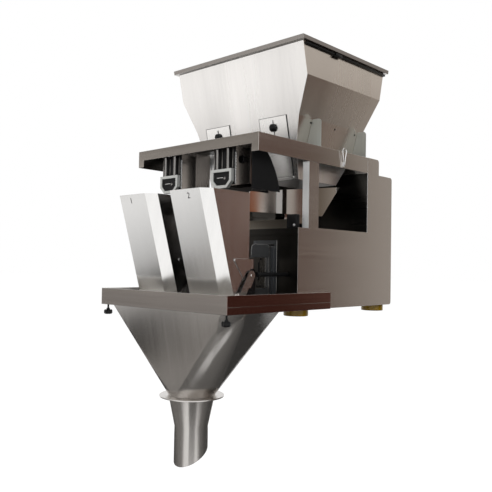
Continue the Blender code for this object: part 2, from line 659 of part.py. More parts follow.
def weigh_bucket(side):
    middle = side * HEAD_X
    rings = [bucket_ring(middle, 0.0, False), bucket_ring(middle, 0.0, True),
             bucket_ring(middle, SHEET, True), bucket_ring(middle, SHEET, False)]
    bucket = finish(sided("weigh_bucket", side), skin(rings, close=True), steel("bucket"))
    wall = BUCKET_HALF - SHEET
    remove(bucket, block("bucket notch", (middle - wall, BUCKET_BACK - 2 * SHEET, NOTCH_BOTTOM),
                         (middle + wall, BUCKET_BACK + SHEET, BUCKET_TOP + SHEET), None))
    bracket = [(BRACKET_FRONT, BRACKET_TOP), BRACKET_KNEE, (BRACKET_KNEE[0], BRACKET_TOE),
               (BRACKET_BACK, BRACKET_TOE), (BRACKET_BACK, BRACKET_TOP)]
    for way in (-1, 1):
        outer = middle + way * (BUCKET_HALF + SHEET)
        inner = middle + way * (BUCKET_HALF - SHEET / 2)
        add(bucket, prism("bucket bracket", "X", bracket, inner, outer, None))
    bucket_door(side)


def bucket_door(side):
    """A flap under the slanted edge, on an arm at each side, and the black lever that works it."""
    middle = side * HEAD_X
    low_y = BUCKET_FRONT + BUCKET_SLOPE * (BUCKET_TOP - BUCKET_LOW_Z)
    rear_y = BUCKET_BACK + SHEET
    drop = TOUCH_GAP * 2

    def strip(front, back):
        """The (y, z) outline of a stretch of the flap."""
        return [(front, bucket_line(front) - drop), (back, bucket_line(back) - drop),
                (back, bucket_line(back) - drop - SHEET), (front, bucket_line(front) - drop - SHEET)]

    reach = BUCKET_HALF - TOUCH_GAP * 4
    door = prism(sided("bucket_door", side), "X", strip(low_y, rear_y), middle - reach, middle + reach,
                 steel("door"), (middle, *DOOR_PIVOT))
    lever_in = BUCKET_HALF + SHEET + TOUCH_GAP
    lever_out = lever_in + LEVER_THICKNESS
    arm_in = lever_out + PLATE_GAP
    arm_out = arm_in + SHEET
    add(door, prism("door tab", "X", strip(LINK_LOW_FRONT[0], TAB_BACK), middle - arm_out,
                    middle + arm_out, None))
    arm = []
    for step in range(9):
        angle = math.radians(-10 + 160 * step / 8)
        arm.append((DOOR_PIVOT[0] + LINK_RADIUS * math.cos(angle),
                    DOOR_PIVOT[1] + LINK_RADIUS * math.sin(angle)))
    arm += [LINK_LOW_FRONT, LINK_LOW_BACK, LINK_CROTCH, LINK_HEEL]
    for way in (-1, 1):
        add(door, prism("door arm", "X", arm, middle + way * arm_in, middle + way * arm_out, None))
    hook = [(LEVER_BACK + y, LEVER_PIVOT[1] + z) for y, z in LEVER_OUTLINE]
    prism(sided("door_lever", side), "X", rounded(hook, [LEVER_CORNER] * len(hook), steps=2),
          middle + side * lever_in, middle + side * lever_out, black("lever"), (middle, *LEVER_PIVOT))
    tip = LEVER_BACK + PLUNGER_TIP_GAP
    length = PLUNGER_BACK - tip
    bumper = PLUNGER_RADIUS + RUN_GAP
    turned(sided("door_plunger", side), "Y", (plunger_x(side), tip, PLUNGER_Z),
           [(-length, PLUNGER_RADIUS), (-bumper, PLUNGER_RADIUS), (-bumper, PLUNGER_RADIUS * 1.25),
            (0.0, PLUNGER_RADIUS * 1.25)], steel("plunger"), sides=16)


# ---- what carries each bucket: head cover, hanger and load cell ----
def head_mount(side):
    middle = side * HEAD_X
    back = PANEL_FRONT - TOUCH_GAP
    left, right = middle - COVER_BEZEL_HALF, middle + COVER_BEZEL_HALF
    bezel = block(sided("head_cover", side), (left, back - SHEET, COVER_BEZEL_BOTTOM),
                  (right, back, COVER_BEZEL_TOP), steel("head cover"))
    left, right = middle - COVER_PAD_HALF, middle + COVER_PAD_HALF
    pad = rounded([(left, COVER_PAD_BOTTOM), (right, COVER_PAD_BOTTOM), (right, COVER_PAD_TOP),
                   (left, COVER_PAD_TOP)], [COVER_PAD_CORNER] * 4)
    add(bezel, prism("cover pad", "Y", pad, BODY_FRONT, PANEL_FRONT - SHEET, None))
    room = COVER_PAD_HALF - SHEET
    remove(bezel, block("pad room", (middle - room, BODY_FRONT + SHEET, COVER_PAD_BOTTOM + SHEET),
                        (middle + room, PANEL_FRONT, COVER_PAD_TOP - SHEET), None))
    web_back = BODY_FRONT - TOUCH_GAP
    arm_front = BUCKET_BACK + TOUCH_GAP
    plan = [(middle - HANGER_HALF, web_back), (middle - HANGER_HALF, arm_front),
            (middle - HANGER_HALF + SHEET, arm_front), (middle - HANGER_HALF + SHEET, web_back - SHEET),
            (middle + HANGER_HALF - SHEET, web_back - SHEET), (middle + HANGER_HALF - SHEET, arm_front),
            (middle + HANGER_HALF, arm_front), (middle + HANGER_HALF, web_back)]
    hanger = prism(sided("bucket_hanger", side), "Z", plan, HANGER_BOTTOM, HANGER_TOP, steel("hanger"))
    below = HANGER_BOTTOM - SHEET
    relief = [(arm_front - SHEET, below), (HANGER_HEEL_FRONT, below), (HANGER_HEEL_FRONT, HANGER_BOTTOM),
              (HANGER_NOSE_BACK, HANGER_NOSE_BOTTOM), (arm_front - SHEET, HANGER_NOSE_BOTTOM)]
    remove(hanger, prism("hanger relief", "X", relief, middle - HANGER_HALF - SHEET,
                         middle + HANGER_HALF + SHEET, None))
    cell_front = BODY_FRONT + SHEET + TOUCH_GAP
    block(sided("load_cell", side), (middle - CELL_HALF, cell_front, CELL_BOTTOM + SHEET + TOUCH_GAP),
          (middle + CELL_HALF, PANEL_FRONT - TOUCH_GAP, CELL_TOP),
          material("cell", (0.6, 0.6, 0.6), 0.3, 1.0))


# ---- collecting tray, funnel, spout and the two star knobs that hold them ----
def collecting_tray():
    beyond = 0.01
    tray = block("collecting_tray", (-TRAY_HALF, TRAY_FRONT, TRAY_BOTTOM),
                 (TRAY_HALF, TRAY_BACK, TRAY_TOP), steel("tray"))
    wall = TRAY_HALF - SHEET
    floor_back = BODY_FRONT - TOUCH_GAP
    remove(tray, block("tray room", (-wall, TRAY_FRONT + SHEET, TRAY_BOTTOM + SHEET),
                       (wall, floor_back - SHEET, TRAY_TOP + beyond), None))
    rail = BODY_HALF_WIDTH + TOUCH_GAP
    remove(tray, block("body room", (-rail, floor_back, TRAY_BOTTOM - beyond),
                       (rail, TRAY_BACK + beyond, TRAY_TOP + beyond), None))
    remove(tray, block("rail room", (-wall, floor_back - SHEET * 2, TRAY_BOTTOM + SHEET),
                       (wall, TRAY_BACK + beyond, TRAY_TOP + beyond), None))
    inside = FUNNEL_SHEET
    remove(tray, block("tray mouth", (-FUNNEL_HALF + inside, FUNNEL_FRONT + inside, TRAY_BOTTOM - beyond),
                       (FUNNEL_HALF - inside, FUNNEL_BACK - inside, TRAY_BOTTOM + beyond), None))


def funnel():
    """Four flat triangles and four quarter cones lead from the rectangle to the round outlet."""
    top = TRAY_BOTTOM - TOUCH_GAP
    count = ROUND_SIDES
    quarter = count // 4
    bm = bmesh.new()
    skins = []
    for inset in (0.0, FUNNEL_SHEET):
        radius = FUNNEL_NECK_RADIUS - inset
        half = FUNNEL_HALF - inset
        back, front = FUNNEL_BACK - inset, FUNNEL_FRONT + inset
        corners = [bm.verts.new(place) for place in ((half, back, top), (-half, back, top),
                                                     (-half, front, top), (half, front, top))]
        circle = [bm.verts.new((radius * math.cos(math.tau * step / count),
                                SPOUT_Y + radius * math.sin(math.tau * step / count), FUNNEL_NECK_Z))
                  for step in range(count)]
        for index, corner in enumerate(corners):
            for step in range(quarter):
                first = circle[index * quarter + step]
                second = circle[(index * quarter + step + 1) % count]
                bm.faces.new((corner, first, second))
            bm.faces.new((corner, circle[((index + 1) * quarter) % count], corners[(index + 1) % 4]))
        skins.append((corners, circle))
    for ring in (0, 1):
        outer = skins[0][ring]
        inner = skins[1][ring]
        for index, vert in enumerate(outer):
            after = (index + 1) % len(outer)
            bm.faces.new((vert, outer[after], inner[after], inner[index]))
    finish("collecting_funnel", bm, steel("funnel"), smooth=True)


def spout():
    """Flange, cone and tube in one, cut on a slant at the bottom."""
    top = FUNNEL_NECK_Z - TOUCH_GAP
    under = top - FLANGE_THICKNESS
    slant_middle = (SPOUT_LOW + SPOUT_HIGH) / 2
    slant = (SPOUT_HIGH - SPOUT_LOW) / 2 / SPOUT_RADIUS

    def ring(z, radius, slanted=False):
        points = []
        for index in range(ROUND_SIDES):
            angle = math.tau * index / ROUND_SIDES
            level = z + slant * radius * math.sin(angle) if slanted else z
            points.append((radius * math.cos(angle), SPOUT_Y + radius * math.sin(angle), level))
        return points

    inner_neck = FUNNEL_NECK_RADIUS - FUNNEL_SHEET
    inner_tube = SPOUT_RADIUS - FUNNEL_SHEET
    rings = [ring(top, FLANGE_RADIUS), ring(under, FLANGE_RADIUS), ring(under, FUNNEL_NECK_RADIUS),
             ring(SPOUT_CONE_BOTTOM, SPOUT_RADIUS), ring(slant_middle, SPOUT_RADIUS, True),
             ring(slant_middle, inner_tube, True), ring(SPOUT_CONE_BOTTOM, inner_tube),
             ring(top, inner_neck)]
    finish("outlet_spout", skin(rings, close=True), steel("spout"), smooth=True)


def tray_knobs():
    """Star knobs: a stud up against the tray floor and a lobed head below."""
    lobes = 5
    per_lobe = 6
    count = lobes * per_lobe
    for side in (-1, 1):
        centre = Vector((side * TRAY_KNOB_X, TRAY_KNOB_Y, TRAY_KNOB_Z))
        rings = []
        for height, size in ((-0.007, 0.80), (-0.004, 1.0), (0.004, 1.0), (0.007, 0.80)):
            ring = []
            for index in range(count):
                angle = math.tau * index / count
                radius = TRAY_KNOB_RADIUS * size * (0.86 + 0.14 * math.cos(lobes * angle))
                ring.append((centre.x + radius * math.cos(angle), centre.y + radius * math.sin(angle),
                             centre.z + height))
            rings.append(ring)
        for height, radius in ((0.007, 0.006), (0.012, 0.005), (0.012, 0.003),
                               (TRAY_BOTTOM - TOUCH_GAP - centre.z, 0.003)):
            rings.append([(centre.x + radius * math.cos(math.tau * index / count),
                           centre.y + radius * math.sin(math.tau * index / count), centre.z + height)
                          for index in range(count)])
        finish(sided("tray_knob", side), skin(rings), black("tray knob"), centre, smooth=True)


# ---- draw latches on the top frame, and the power gland at the back ----
def latches():
    base_depth = 0.004
    for side in (-1, 1):
        face = side * (BODY_HALF_WIDTH + TOUCH_GAP)
        outer = face + side * base_depth
        low = (min(face, outer), LATCH_Y - 0.006, LATCH_FOOT_Z - 0.005)
        high = (max(face, outer), LATCH_Y + 0.006, LATCH_FOOT_Z + 0.012)
        block(sided("latch_base", side), low, high, steel("latch base"))
        centre = Vector((outer + side * (WIRE_RADIUS + TOUCH_GAP), LATCH_Y, LATCH_FOOT_Z))
        reach = LATCH_TOP_Z - LATCH_FOOT_Z
        half = 0.011
        path = [(0.0, 0.0), (-half * 0.55, reach * 0.5), (-half, reach * 0.88), (-half * 0.5, reach),
                (half * 0.5, reach), (half, reach * 0.88), (half * 0.55, reach * 0.5)]
        rings = []
        for index, (y, z) in enumerate(path):
            before = Vector(path[index - 1])
            after = Vector(path[(index + 1) % len(path)])
            heading = (after - before).normalized()
            across = Vector((-heading.y, heading.x))
            ring = []
            for step in range(8):
                angle = math.tau * step / 8
                out = across * (WIRE_RADIUS * math.cos(angle))
                ring.append((centre.x + WIRE_RADIUS * math.sin(angle), centre.y + y + out.x,
                             centre.z + z + out.y))
            rings.append(ring)
        finish(sided("latch_bail", side), skin(rings, close=True),
               material("wire", (0.8, 0.8, 0.8), 0.2, 1.0), centre, smooth=True)


def power_gland():
    turned("power_gland", "Y", (0.10, BODY_BACK + TOUCH_GAP, 0.08),
           [(-GLAND_LENGTH, GLAND_RADIUS * 0.7), (-GLAND_LENGTH * 0.4, GLAND_RADIUS * 0.8),
            (-GLAND_LENGTH * 0.4, GLAND_RADIUS), (0.0, GLAND_RADIUS)], black("gland"), sides=24)


body_sheets()
feet()
top_frame()
storage_hopper()
gussets()
hopper_gates()
gate_beam()
for hand in (-1, 1):
    side_plate(hand)
    feeder(hand)
    gate_drive(hand)
    weigh_bucket(hand)
    head_mount(hand)
collecting_tray()
funnel()
spout()
tray_knobs()
latches()
power_gland()
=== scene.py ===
import json
import math

import bmesh
import bpy
from mathutils import Matrix, Vector

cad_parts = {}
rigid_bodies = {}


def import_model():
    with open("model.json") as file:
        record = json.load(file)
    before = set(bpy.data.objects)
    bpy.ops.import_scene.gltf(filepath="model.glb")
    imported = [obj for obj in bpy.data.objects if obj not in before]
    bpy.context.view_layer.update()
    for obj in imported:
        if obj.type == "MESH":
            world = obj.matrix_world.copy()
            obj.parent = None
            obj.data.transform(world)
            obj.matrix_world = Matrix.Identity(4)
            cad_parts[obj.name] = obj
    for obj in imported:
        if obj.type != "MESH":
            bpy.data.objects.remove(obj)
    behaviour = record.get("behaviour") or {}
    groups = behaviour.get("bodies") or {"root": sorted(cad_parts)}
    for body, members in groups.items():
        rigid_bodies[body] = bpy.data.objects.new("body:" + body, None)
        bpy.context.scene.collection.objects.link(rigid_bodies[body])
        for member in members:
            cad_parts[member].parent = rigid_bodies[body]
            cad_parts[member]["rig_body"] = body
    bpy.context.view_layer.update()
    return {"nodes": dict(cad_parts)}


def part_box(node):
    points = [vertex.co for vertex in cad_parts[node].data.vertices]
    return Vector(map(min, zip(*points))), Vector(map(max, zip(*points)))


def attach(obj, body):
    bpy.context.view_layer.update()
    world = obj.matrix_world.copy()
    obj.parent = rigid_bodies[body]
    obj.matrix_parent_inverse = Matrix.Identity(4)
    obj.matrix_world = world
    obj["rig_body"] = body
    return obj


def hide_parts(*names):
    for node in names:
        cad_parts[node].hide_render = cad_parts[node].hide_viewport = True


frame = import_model()

# The eye looks up a little at the dosing unit from its front right corner, just above the
# platform that it stands on, through a slightly long lens.
eye_place = (1.4563, -1.7553, 0.1534)
eye_yaw, eye_pitch, eye_roll = (math.radians(turn) for turn in (43.2587, 1.672, 0.962))
lens = bpy.data.cameras.new("eye")
lens.sensor_width, lens.lens = 36.0, 46.854
eye = bpy.data.objects.new("eye", lens)
bpy.context.scene.collection.objects.link(eye)
eye.matrix_world = (Matrix.Translation(eye_place) @ Matrix.Rotation(eye_yaw, 4, "Z")
                    @ Matrix.Rotation(math.pi / 2 + eye_pitch, 4, "X")
                    @ Matrix.Rotation(eye_roll, 4, "Z"))
bpy.context.scene.camera = eye
bpy.context.scene.view_settings.view_transform = "Standard"


# The studio: a white floor and white surround, three soft lamps, and shaded cards outside the
# view that only mirrors show. They give the polished sheet a workshop's walls to reflect.
def nodes_of(surface):
    """Empties a material or world of nodes and returns its tree."""
    surface.use_nodes = True
    surface.node_tree.nodes.clear()
    return surface.node_tree


def link(tree, source, output, target, entry):
    """Joins a node's output to an entry of the next node."""
    tree.links.new(source.outputs[output], target.inputs[entry])


def seen_plainly(tree):
    """1 for what the camera sees straight, mirrored or through, and 0 for light that falls."""
    path = tree.nodes.new("ShaderNodeLightPath")
    both = tree.nodes.new("ShaderNodeMath")
    both.operation = "MAXIMUM"
    link(tree, path, "Is Camera Ray", both, 0)
    link(tree, path, "Is Glossy Ray", both, 1)
    either = tree.nodes.new("ShaderNodeMath")
    either.operation = "MAXIMUM"
    link(tree, both, 0, either, 0)
    link(tree, path, "Is Transmission Ray", either, 1)
    return either


fill_strength = 0.55
surround = bpy.data.worlds.new("surround")
bpy.context.scene.world = surround
tree = nodes_of(surround)
backdrop = tree.nodes.new("ShaderNodeBackground")
backdrop.inputs["Color"].default_value = (1.0, 1.0, 1.0, 1.0)
amount = tree.nodes.new("ShaderNodeMapRange")
amount.inputs["To Min"].default_value = fill_strength
link(tree, seen_plainly(tree), 0, amount, 0)
link(tree, amount, 0, backdrop, "Strength")
link(tree, backdrop, 0, tree.nodes.new("ShaderNodeOutputWorld"), "Surface")

floor_height, floor_size = -0.75, 80.0
floor_paint, floor_glow, glow_share = (0.8, 0.8, 0.8, 1.0), 1.15, 0.8
bpy.ops.mesh.primitive_plane_add(size=floor_size, location=(0.0, 0.0, floor_height))
floor = bpy.context.object
floor.name = "studio_floor"
paint = bpy.data.materials.new("floor_white")
tree = nodes_of(paint)
matt = tree.nodes.new("ShaderNodeBsdfDiffuse")
matt.inputs["Color"].default_value = floor_paint
glow = tree.nodes.new("ShaderNodeEmission")
lift = tree.nodes.new("ShaderNodeMath")
lift.operation = "MULTIPLY"
lift.inputs[1].default_value = floor_glow
link(tree, seen_plainly(tree), 0, lift, 0)
link(tree, lift, 0, glow, "Strength")
share = tree.nodes.new("ShaderNodeMixShader")
share.inputs[0].default_value = glow_share
link(tree, matt, 0, share, 1)
link(tree, glow, 0, share, 2)
link(tree, share, 0, tree.nodes.new("ShaderNodeOutputMaterial"), "Surface")
floor.data.materials.append(paint)


def card(name, middle, turn, lean, width, height, across, stops):
    """A shaded card that only mirrors show. The stops run over its width or its height."""
    bpy.ops.mesh.primitive_plane_add(size=1.0)
    board = bpy.context.object
    board.name = name
    board.matrix_world = (Matrix.Translation(middle) @ Matrix.Rotation(math.radians(turn), 4, "Z")
                          @ Matrix.Rotation(math.radians(lean), 4, "X")
                          @ Matrix.Diagonal((width, height, 1.0, 1.0)))
    cloth = bpy.data.materials.new(name)
    tree = nodes_of(cloth)
    place = tree.nodes.new("ShaderNodeTexCoord")
    axes = tree.nodes.new("ShaderNodeSeparateXYZ")
    link(tree, place, "Object", axes, 0)
    shift = tree.nodes.new("ShaderNodeMath")
    shift.inputs[1].default_value = 0.5
    link(tree, axes, 0 if across else 1, shift, 0)
    ramp = tree.nodes.new("ShaderNodeValToRGB")
    while len(ramp.color_ramp.elements) < len(stops):
        ramp.color_ramp.elements.new(0.5)
    for mark, (where, colour) in zip(ramp.color_ramp.elements, stops):
        mark.position = where
        mark.color = (*colour, 1.0)
    link(tree, shift, 0, ramp, 0)
    glow = tree.nodes.new("ShaderNodeEmission")
    link(tree, ramp, 0, glow, "Color")
    link(tree, glow, 0, tree.nodes.new("ShaderNodeOutputMaterial"), "Surface")
    board.data.materials.append(cloth)
    board.visible_camera = board.visible_diffuse = board.visible_shadow = False
    board.visible_transmission = board.visible_volume_scatter = False


def grey(level, warmth=0.0):
    """A grey of the given level, turned a little towards brown by its warmth."""
    return (level * (1 + warmth), level, level * (1 - warmth))


card("card_front_left", (-4.09, -3.68, 1.7), 132.0, 90.0, 8.0, 5.0, False,
     [(0.04, grey(0.85)), (0.06, grey(0.33, 0.06)), (0.144, grey(0.33, 0.06)),
      (0.168, grey(1.15, 0.02)), (0.38, grey(1.15, 0.02)), (0.414, grey(0.25, 0.07)),
      (0.54, grey(0.27, 0.07)), (0.62, grey(0.4, 0.03)), (1.0, grey(0.5, 0.03))])
card("card_back_right", (2.96, 3.52, 0.5), -40.0, 90.0, 6.0, 2.6, True,
     [(0.0, grey(0.5, 0.06)), (0.37, grey(0.46, 0.08)), (0.425, grey(0.40, 0.09)),
      (0.46, grey(0.24, 0.14)), (0.49, grey(0.11, 0.22)), (0.53, (0.10, 0.05, 0.038)),
      (1.0, (0.08, 0.045, 0.034))])
card("card_back_right_high", (2.96, 3.52, 3.1), -40.0, 90.0, 6.0, 2.6, False,
     [(0.0, grey(0.58, 0.06)), (1.0, grey(0.52, 0.06))])
card("card_stripes", (3.311, 3.200, 0.8), -40.0, 90.0, 0.55, 0.5, True,
     [(0.0, grey(0.40, 0.08)), (0.33, grey(0.36, 0.08)), (0.37, grey(0.01)), (0.53, grey(0.01)),
      (0.57, grey(0.50, 0.06)), (0.66, grey(0.42, 0.10)), (0.71, (0.26, 0.10, 0.05)),
      (1.0, (0.20, 0.075, 0.045))])
card_low = floor_height + 0.004
card_next = card_low + 0.004
card_top = card_next + 0.004
card("card_floor_left", (-2.19, -1.97, card_low), -48.0, 0.0, 2.6, 3.7, False,
     [(0.0, grey(0.9)), (0.14, grey(0.84)), (0.42, grey(0.60)), (0.64, grey(0.40, 0.04)),
      (0.76, grey(0.22, 0.06)), (0.88, grey(0.33, 0.04)), (1.0, grey(0.30, 0.06))])
card("card_floor_patch", (-1.855, -1.467, card_next), -48.0, 0.0, 0.95, 0.93, True,
     [(0.0, grey(0.03)), (0.75, grey(0.04, 0.05)), (1.0, grey(0.18, 0.06))])
card("card_floor_glint", (0.12, -0.86, card_top), -46.0, 0.0, 0.16, 0.34, True,
     [(0.0, grey(0.75)), (1.0, grey(0.75))])
card("card_floor_front", (0.62, -0.86, card_next), -46.0, 0.0, 0.60, 0.60, True,
     [(0.0, grey(0.14, 0.03)), (1.0, grey(0.14, 0.03))])
card("card_floor_right", (2.0, 2.2, card_low), -42.0, 0.0, 4.0, 4.0, False,
     [(0.0, grey(0.07, 0.05)), (0.4, grey(0.10, 0.07)), (1.0, grey(0.15, 0.07))])
card("card_floor_under", (-0.1, 0.0, card_next), -46.0, 0.0, 2.0, 2.6, True,
     [(0.0, grey(0.07, 0.03)), (0.5, grey(0.08, 0.03)), (0.8, grey(0.16, 0.03)),
      (1.0, grey(0.25, 0.03))])


def lamp(name, place, aim, size, power):
    """A square soft lamp that mirrors don't show, turned towards its aim."""
    lit = bpy.data.lights.new(name, "AREA")
    lit.size, lit.energy = size, power
    holder = bpy.data.objects.new(name, lit)
    holder.location = place
    holder.visible_glossy = False
    holder.rotation_euler = (Vector(aim) - Vector(place)).to_track_quat("-Z", "Y").to_euler()
    bpy.context.scene.collection.objects.link(holder)


lamp("key", (-1.7, -3.0, 2.1), (0.0, -0.1, 0.35), 1.8, 62.0)
lamp("side", (3.2, -1.6, 1.9), (0.0, -0.1, 0.2), 1.6, 28.0)
lamp("back", (-1.4, 2.8, 2.2), (0.0, 0.0, 0.2), 1.8, 40.0)


# The body: a lower box of folded stainless sheet with a taller housing at its back. Side
# plates, floor, deck, recessed front panel, partition and rear cover are brushed level. The
# deck, front panel, partition and the plates' inward faces are painted near black as shade.
def math_node(tree, operation, *entries):
    """A Math node whose entries are numbers, or (node, output) pairs."""
    made = tree.nodes.new("ShaderNodeMath")
    made.operation = operation
    for place, entry in enumerate(entries):
        if isinstance(entry, tuple):
            link(tree, *entry, made, place)
        else:
            made.inputs[place].default_value = entry
    return made


def ranged(tree, source, low, high, least, most):
    """Stretches what runs from low to high so that it runs from least to most."""
    made = tree.nodes.new("ShaderNodeMapRange")
    for entry, value in (("From Min", low), ("From Max", high),
                         ("To Min", least), ("To Max", most)):
        made.inputs[entry].default_value = value
    link(tree, source, 0, made, 0)
    return made


def brushed_steel(name, colour, roughness, grain, mottle=0.06, metallic=1.0, streak=0.5):
    """Brushed sheet: fine lines that run level or upright on each face, broad faint streaks,
    cloudy smears, and a shallow relief."""
    steel = bpy.data.materials.new(name)
    tree = nodes_of(steel)
    surface = tree.nodes.new("ShaderNodeBsdfPrincipled")
    surface.inputs["Metallic"].default_value = metallic
    place = tree.nodes.new("ShaderNodeTexCoord")
    spot, facing = tree.nodes.new("ShaderNodeSeparateXYZ"), tree.nodes.new("ShaderNodeSeparateXYZ")
    link(tree, place, "Object", spot, 0)
    link(tree, place, "Normal", facing, 0)
    sideways = math_node(tree, "GREATER_THAN", (math_node(tree, "ABSOLUTE", (facing, 0)), 0), 0.5)
    level = tree.nodes.new("ShaderNodeMix")
    link(tree, sideways, 0, level, 0)
    link(tree, spot, 0, level, 2)
    link(tree, spot, 1, level, 3)
    has_relief = streak > 0.2
    finest = 420.0 if has_relief else 130.0
    side_shift, off_grid = 7.7, (0.5, 0.6, 0.4)
    layers = []
    for along, across, detail in ((4.0, finest, 1.0), (1.2, 80.0, 2.0), (1.6, 7.0, 2.0)):
        stretched = tree.nodes.new("ShaderNodeCombineXYZ")
        run, rise = (along, across) if grain == "level" else (across, along)
        link(tree, math_node(tree, "MULTIPLY", (level, 0), run), 0, stretched, 0)
        link(tree, math_node(tree, "MULTIPLY", (spot, 2), rise), 0, stretched, 1)
        link(tree, math_node(tree, "MULTIPLY", (sideways, 0), side_shift), 0, stretched, 2)
        turned = tree.nodes.new("ShaderNodeMapping")
        turned.inputs["Rotation"].default_value = off_grid
        link(tree, stretched, 0, turned, "Vector")
        layer = tree.nodes.new("ShaderNodeTexNoise")
        layer.inputs["Scale"].default_value = 1.0
        layer.inputs["Detail"].default_value = detail
        link(tree, turned, 0, layer, "Vector")
        layers.append(layer)
    lines, streaks, clouds = layers
    brushing = math_node(tree, "ADD", (lines, 0), (streaks, 0))
    fine = math_node(tree, "MULTIPLY", (brushing, 0), streak)
    wear = math_node(tree, "ADD", (fine, 0), (clouds, 0))
    low, high, gloss_change = 0.3 + 0.8 * streak, 0.7 + 1.2 * streak, 0.04
    stain = tree.nodes.new("ShaderNodeVectorMath")
    stain.operation = "SCALE"
    stain.inputs[0].default_value = colour
    link(tree, ranged(tree, wear, low, high, 1 - mottle, 1 + mottle), 0, stain, "Scale")
    link(tree, stain, 0, surface, "Base Color")
    link(tree, ranged(tree, wear, low, high, roughness - gloss_change, roughness + gloss_change), 0,
         surface, "Roughness")
    if has_relief:
        relief = tree.nodes.new("ShaderNodeBump")
        relief.inputs["Strength"].default_value = 0.04 * streak
        relief.inputs["Distance"].default_value = 0.0003
        link(tree, fine, 0, relief, "Height")
        link(tree, relief, 0, surface, "Normal")
    link(tree, surface, 0, tree.nodes.new("ShaderNodeOutputMaterial"), "Surface")
    return steel


def only(piece):
    """Makes a piece the one selected and active object."""
    bpy.ops.object.select_all(action="DESELECT")
    piece.select_set(True)
    bpy.context.view_layer.objects.active = piece


def finished(node, look, edge=0.0006, others=(), crease=32.0):
    """Merged copies of a CAD node, or of its left and right ones, with their edges broken.
    Each of the others is a look and a test of (centre, normal) for the faces that wear it."""
    names = [node] if node in frame["nodes"] else [f"{node}_left", f"{node}_right"]
    merge_gap, flat_bend, bevel_margin = 0.000002, 0.5, 4
    made = []
    for name in names:
        solid = frame["nodes"][name]
        piece = bpy.data.objects.new(name + "_shown", solid.data.copy())
        bpy.context.scene.collection.objects.link(piece)
        only(piece)
        bpy.ops.object.mode_set(mode="EDIT")
        bpy.ops.mesh.select_all(action="SELECT")
        bpy.ops.mesh.remove_doubles(threshold=merge_gap)
        bpy.ops.mesh.dissolve_limited(angle_limit=math.radians(flat_bend))
        bpy.ops.object.mode_set(mode="OBJECT")
        if edge:
            broken = piece.modifiers.new("broken_edges", "BEVEL")
            broken.width, broken.segments, broken.limit_method = edge, 2, "ANGLE"
            broken.angle_limit = math.radians(crease - bevel_margin)
            bpy.ops.object.modifier_apply(modifier=broken.name)
        bpy.ops.object.shade_smooth_by_angle(angle=math.radians(crease))
        even = piece.modifiers.new("even_faces", "WEIGHTED_NORMAL")
        even.weight, even.keep_sharp = 100, True
        bpy.ops.object.modifier_apply(modifier=even.name)
        piece.data.materials.clear()
        piece.data.materials.append(look)
        for index, (other, wears) in enumerate(others, 1):
            piece.data.materials.append(other)
            for face in piece.data.polygons:
                if wears(face.center, face.normal):
                    face.material_index = index
        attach(piece, solid["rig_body"])
        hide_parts(name)
        made.append(piece)
    return made


body_brush = brushed_steel("body_brush", (0.62, 0.585, 0.555), 0.24, "level")
# A near-black copy of the body sheet: painted shade for faces inside the box, under the top frame,
# on the beam and inside the pans.
inner_shade = brushed_steel("inner_shade", (0.05, 0.047, 0.043), 0.3, "level")
flange_lit = brushed_steel("flange_lit", (0.95, 0.95, 0.94), 0.4, "upright", 0.05, 0.1)
bright = brushed_steel("bright_pins_and_highlights", (0.85, 0.85, 0.85), 0.15, "level")
# On the side plates the inward faces are painted shade, the post flanges' front faces are painted
# near white as lit faces, and the nose's front faces wear the bright pin steel as a painted
# highlight.
flange_foot, nose_y = 0.27, -0.26
finished("side_plate", body_brush, 0.001,
         [(inner_shade, lambda spot, facing: facing.x * spot.x < -0.1),
          (flange_lit, lambda spot, facing: facing.y < -0.9 and spot.z > flange_foot),
          (bright, lambda spot, facing: facing.y < -0.2 and spot.y < nose_y)])
for node in ("base_plate", "rear_cover"):
    finished(node, body_brush)
for node in ("deck", "front_panel", "partition"):
    finished(node, inner_shade)


def choose(piece, wanted):
    """Selects the faces of a piece in edit mode whose centre and normal pass the test."""
    bpy.ops.mesh.select_mode(type="FACE")
    bpy.ops.mesh.select_all(action="DESELECT")
    net = bmesh.from_edit_mesh(piece.data)
    for face in net.faces:
        face.select_set(wanted(face.calc_center_median(), face.normal))
    bmesh.update_edit_mesh(piece.data)


def settled(piece, name, look, body, angle=32.0):
    """Puts a modelled piece's place into its mesh, and gives it its look and the body it is on."""
    only(piece)
    bpy.ops.object.transform_apply(location=True, rotation=True, scale=True)
    bpy.ops.object.shade_smooth_by_angle(angle=math.radians(angle))
    piece.name = name
    piece.data.materials.clear()
    piece.data.materials.append(look)
    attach(piece, body)
    return piece


def bar(low, high, edge=0.0003):
    """A block between two corners with all its edges rounded over."""
    bpy.ops.object.select_all(action="DESELECT")
    bpy.ops.mesh.primitive_cube_add(size=1.0)
    piece = bpy.context.object
    piece.location = [(a + b) / 2 for a, b in zip(low, high)]
    piece.scale = [b - a for a, b in zip(low, high)]
    bpy.ops.object.transform_apply(location=True, rotation=True, scale=True)
    bpy.ops.object.mode_set(mode="EDIT")
    bpy.ops.mesh.select_all(action="SELECT")
    bpy.ops.mesh.bevel(offset=edge, segments=2)
    bpy.ops.object.mode_set(mode="OBJECT")
    return piece


def round_piece(radius, rise, steps, sides=20):
    """A turned piece that stands on the origin. Each step insets its top face, then raises it."""
    bpy.ops.object.select_all(action="DESELECT")
    bpy.ops.mesh.primitive_cylinder_add(vertices=sides, radius=radius, depth=rise,
                                        location=(0.0, 0.0, rise / 2))
    piece = bpy.context.object
    bpy.ops.object.transform_apply(location=True, rotation=True, scale=True)
    bpy.ops.object.mode_set(mode="EDIT")
    choose(piece, lambda spot, facing: facing.z > 0.9)
    for inset, lift in steps:
        bpy.ops.mesh.inset(thickness=inset)
        if lift:
            bpy.ops.transform.translate(value=(0.0, 0.0, lift))
    bpy.ops.object.mode_set(mode="OBJECT")
    return piece


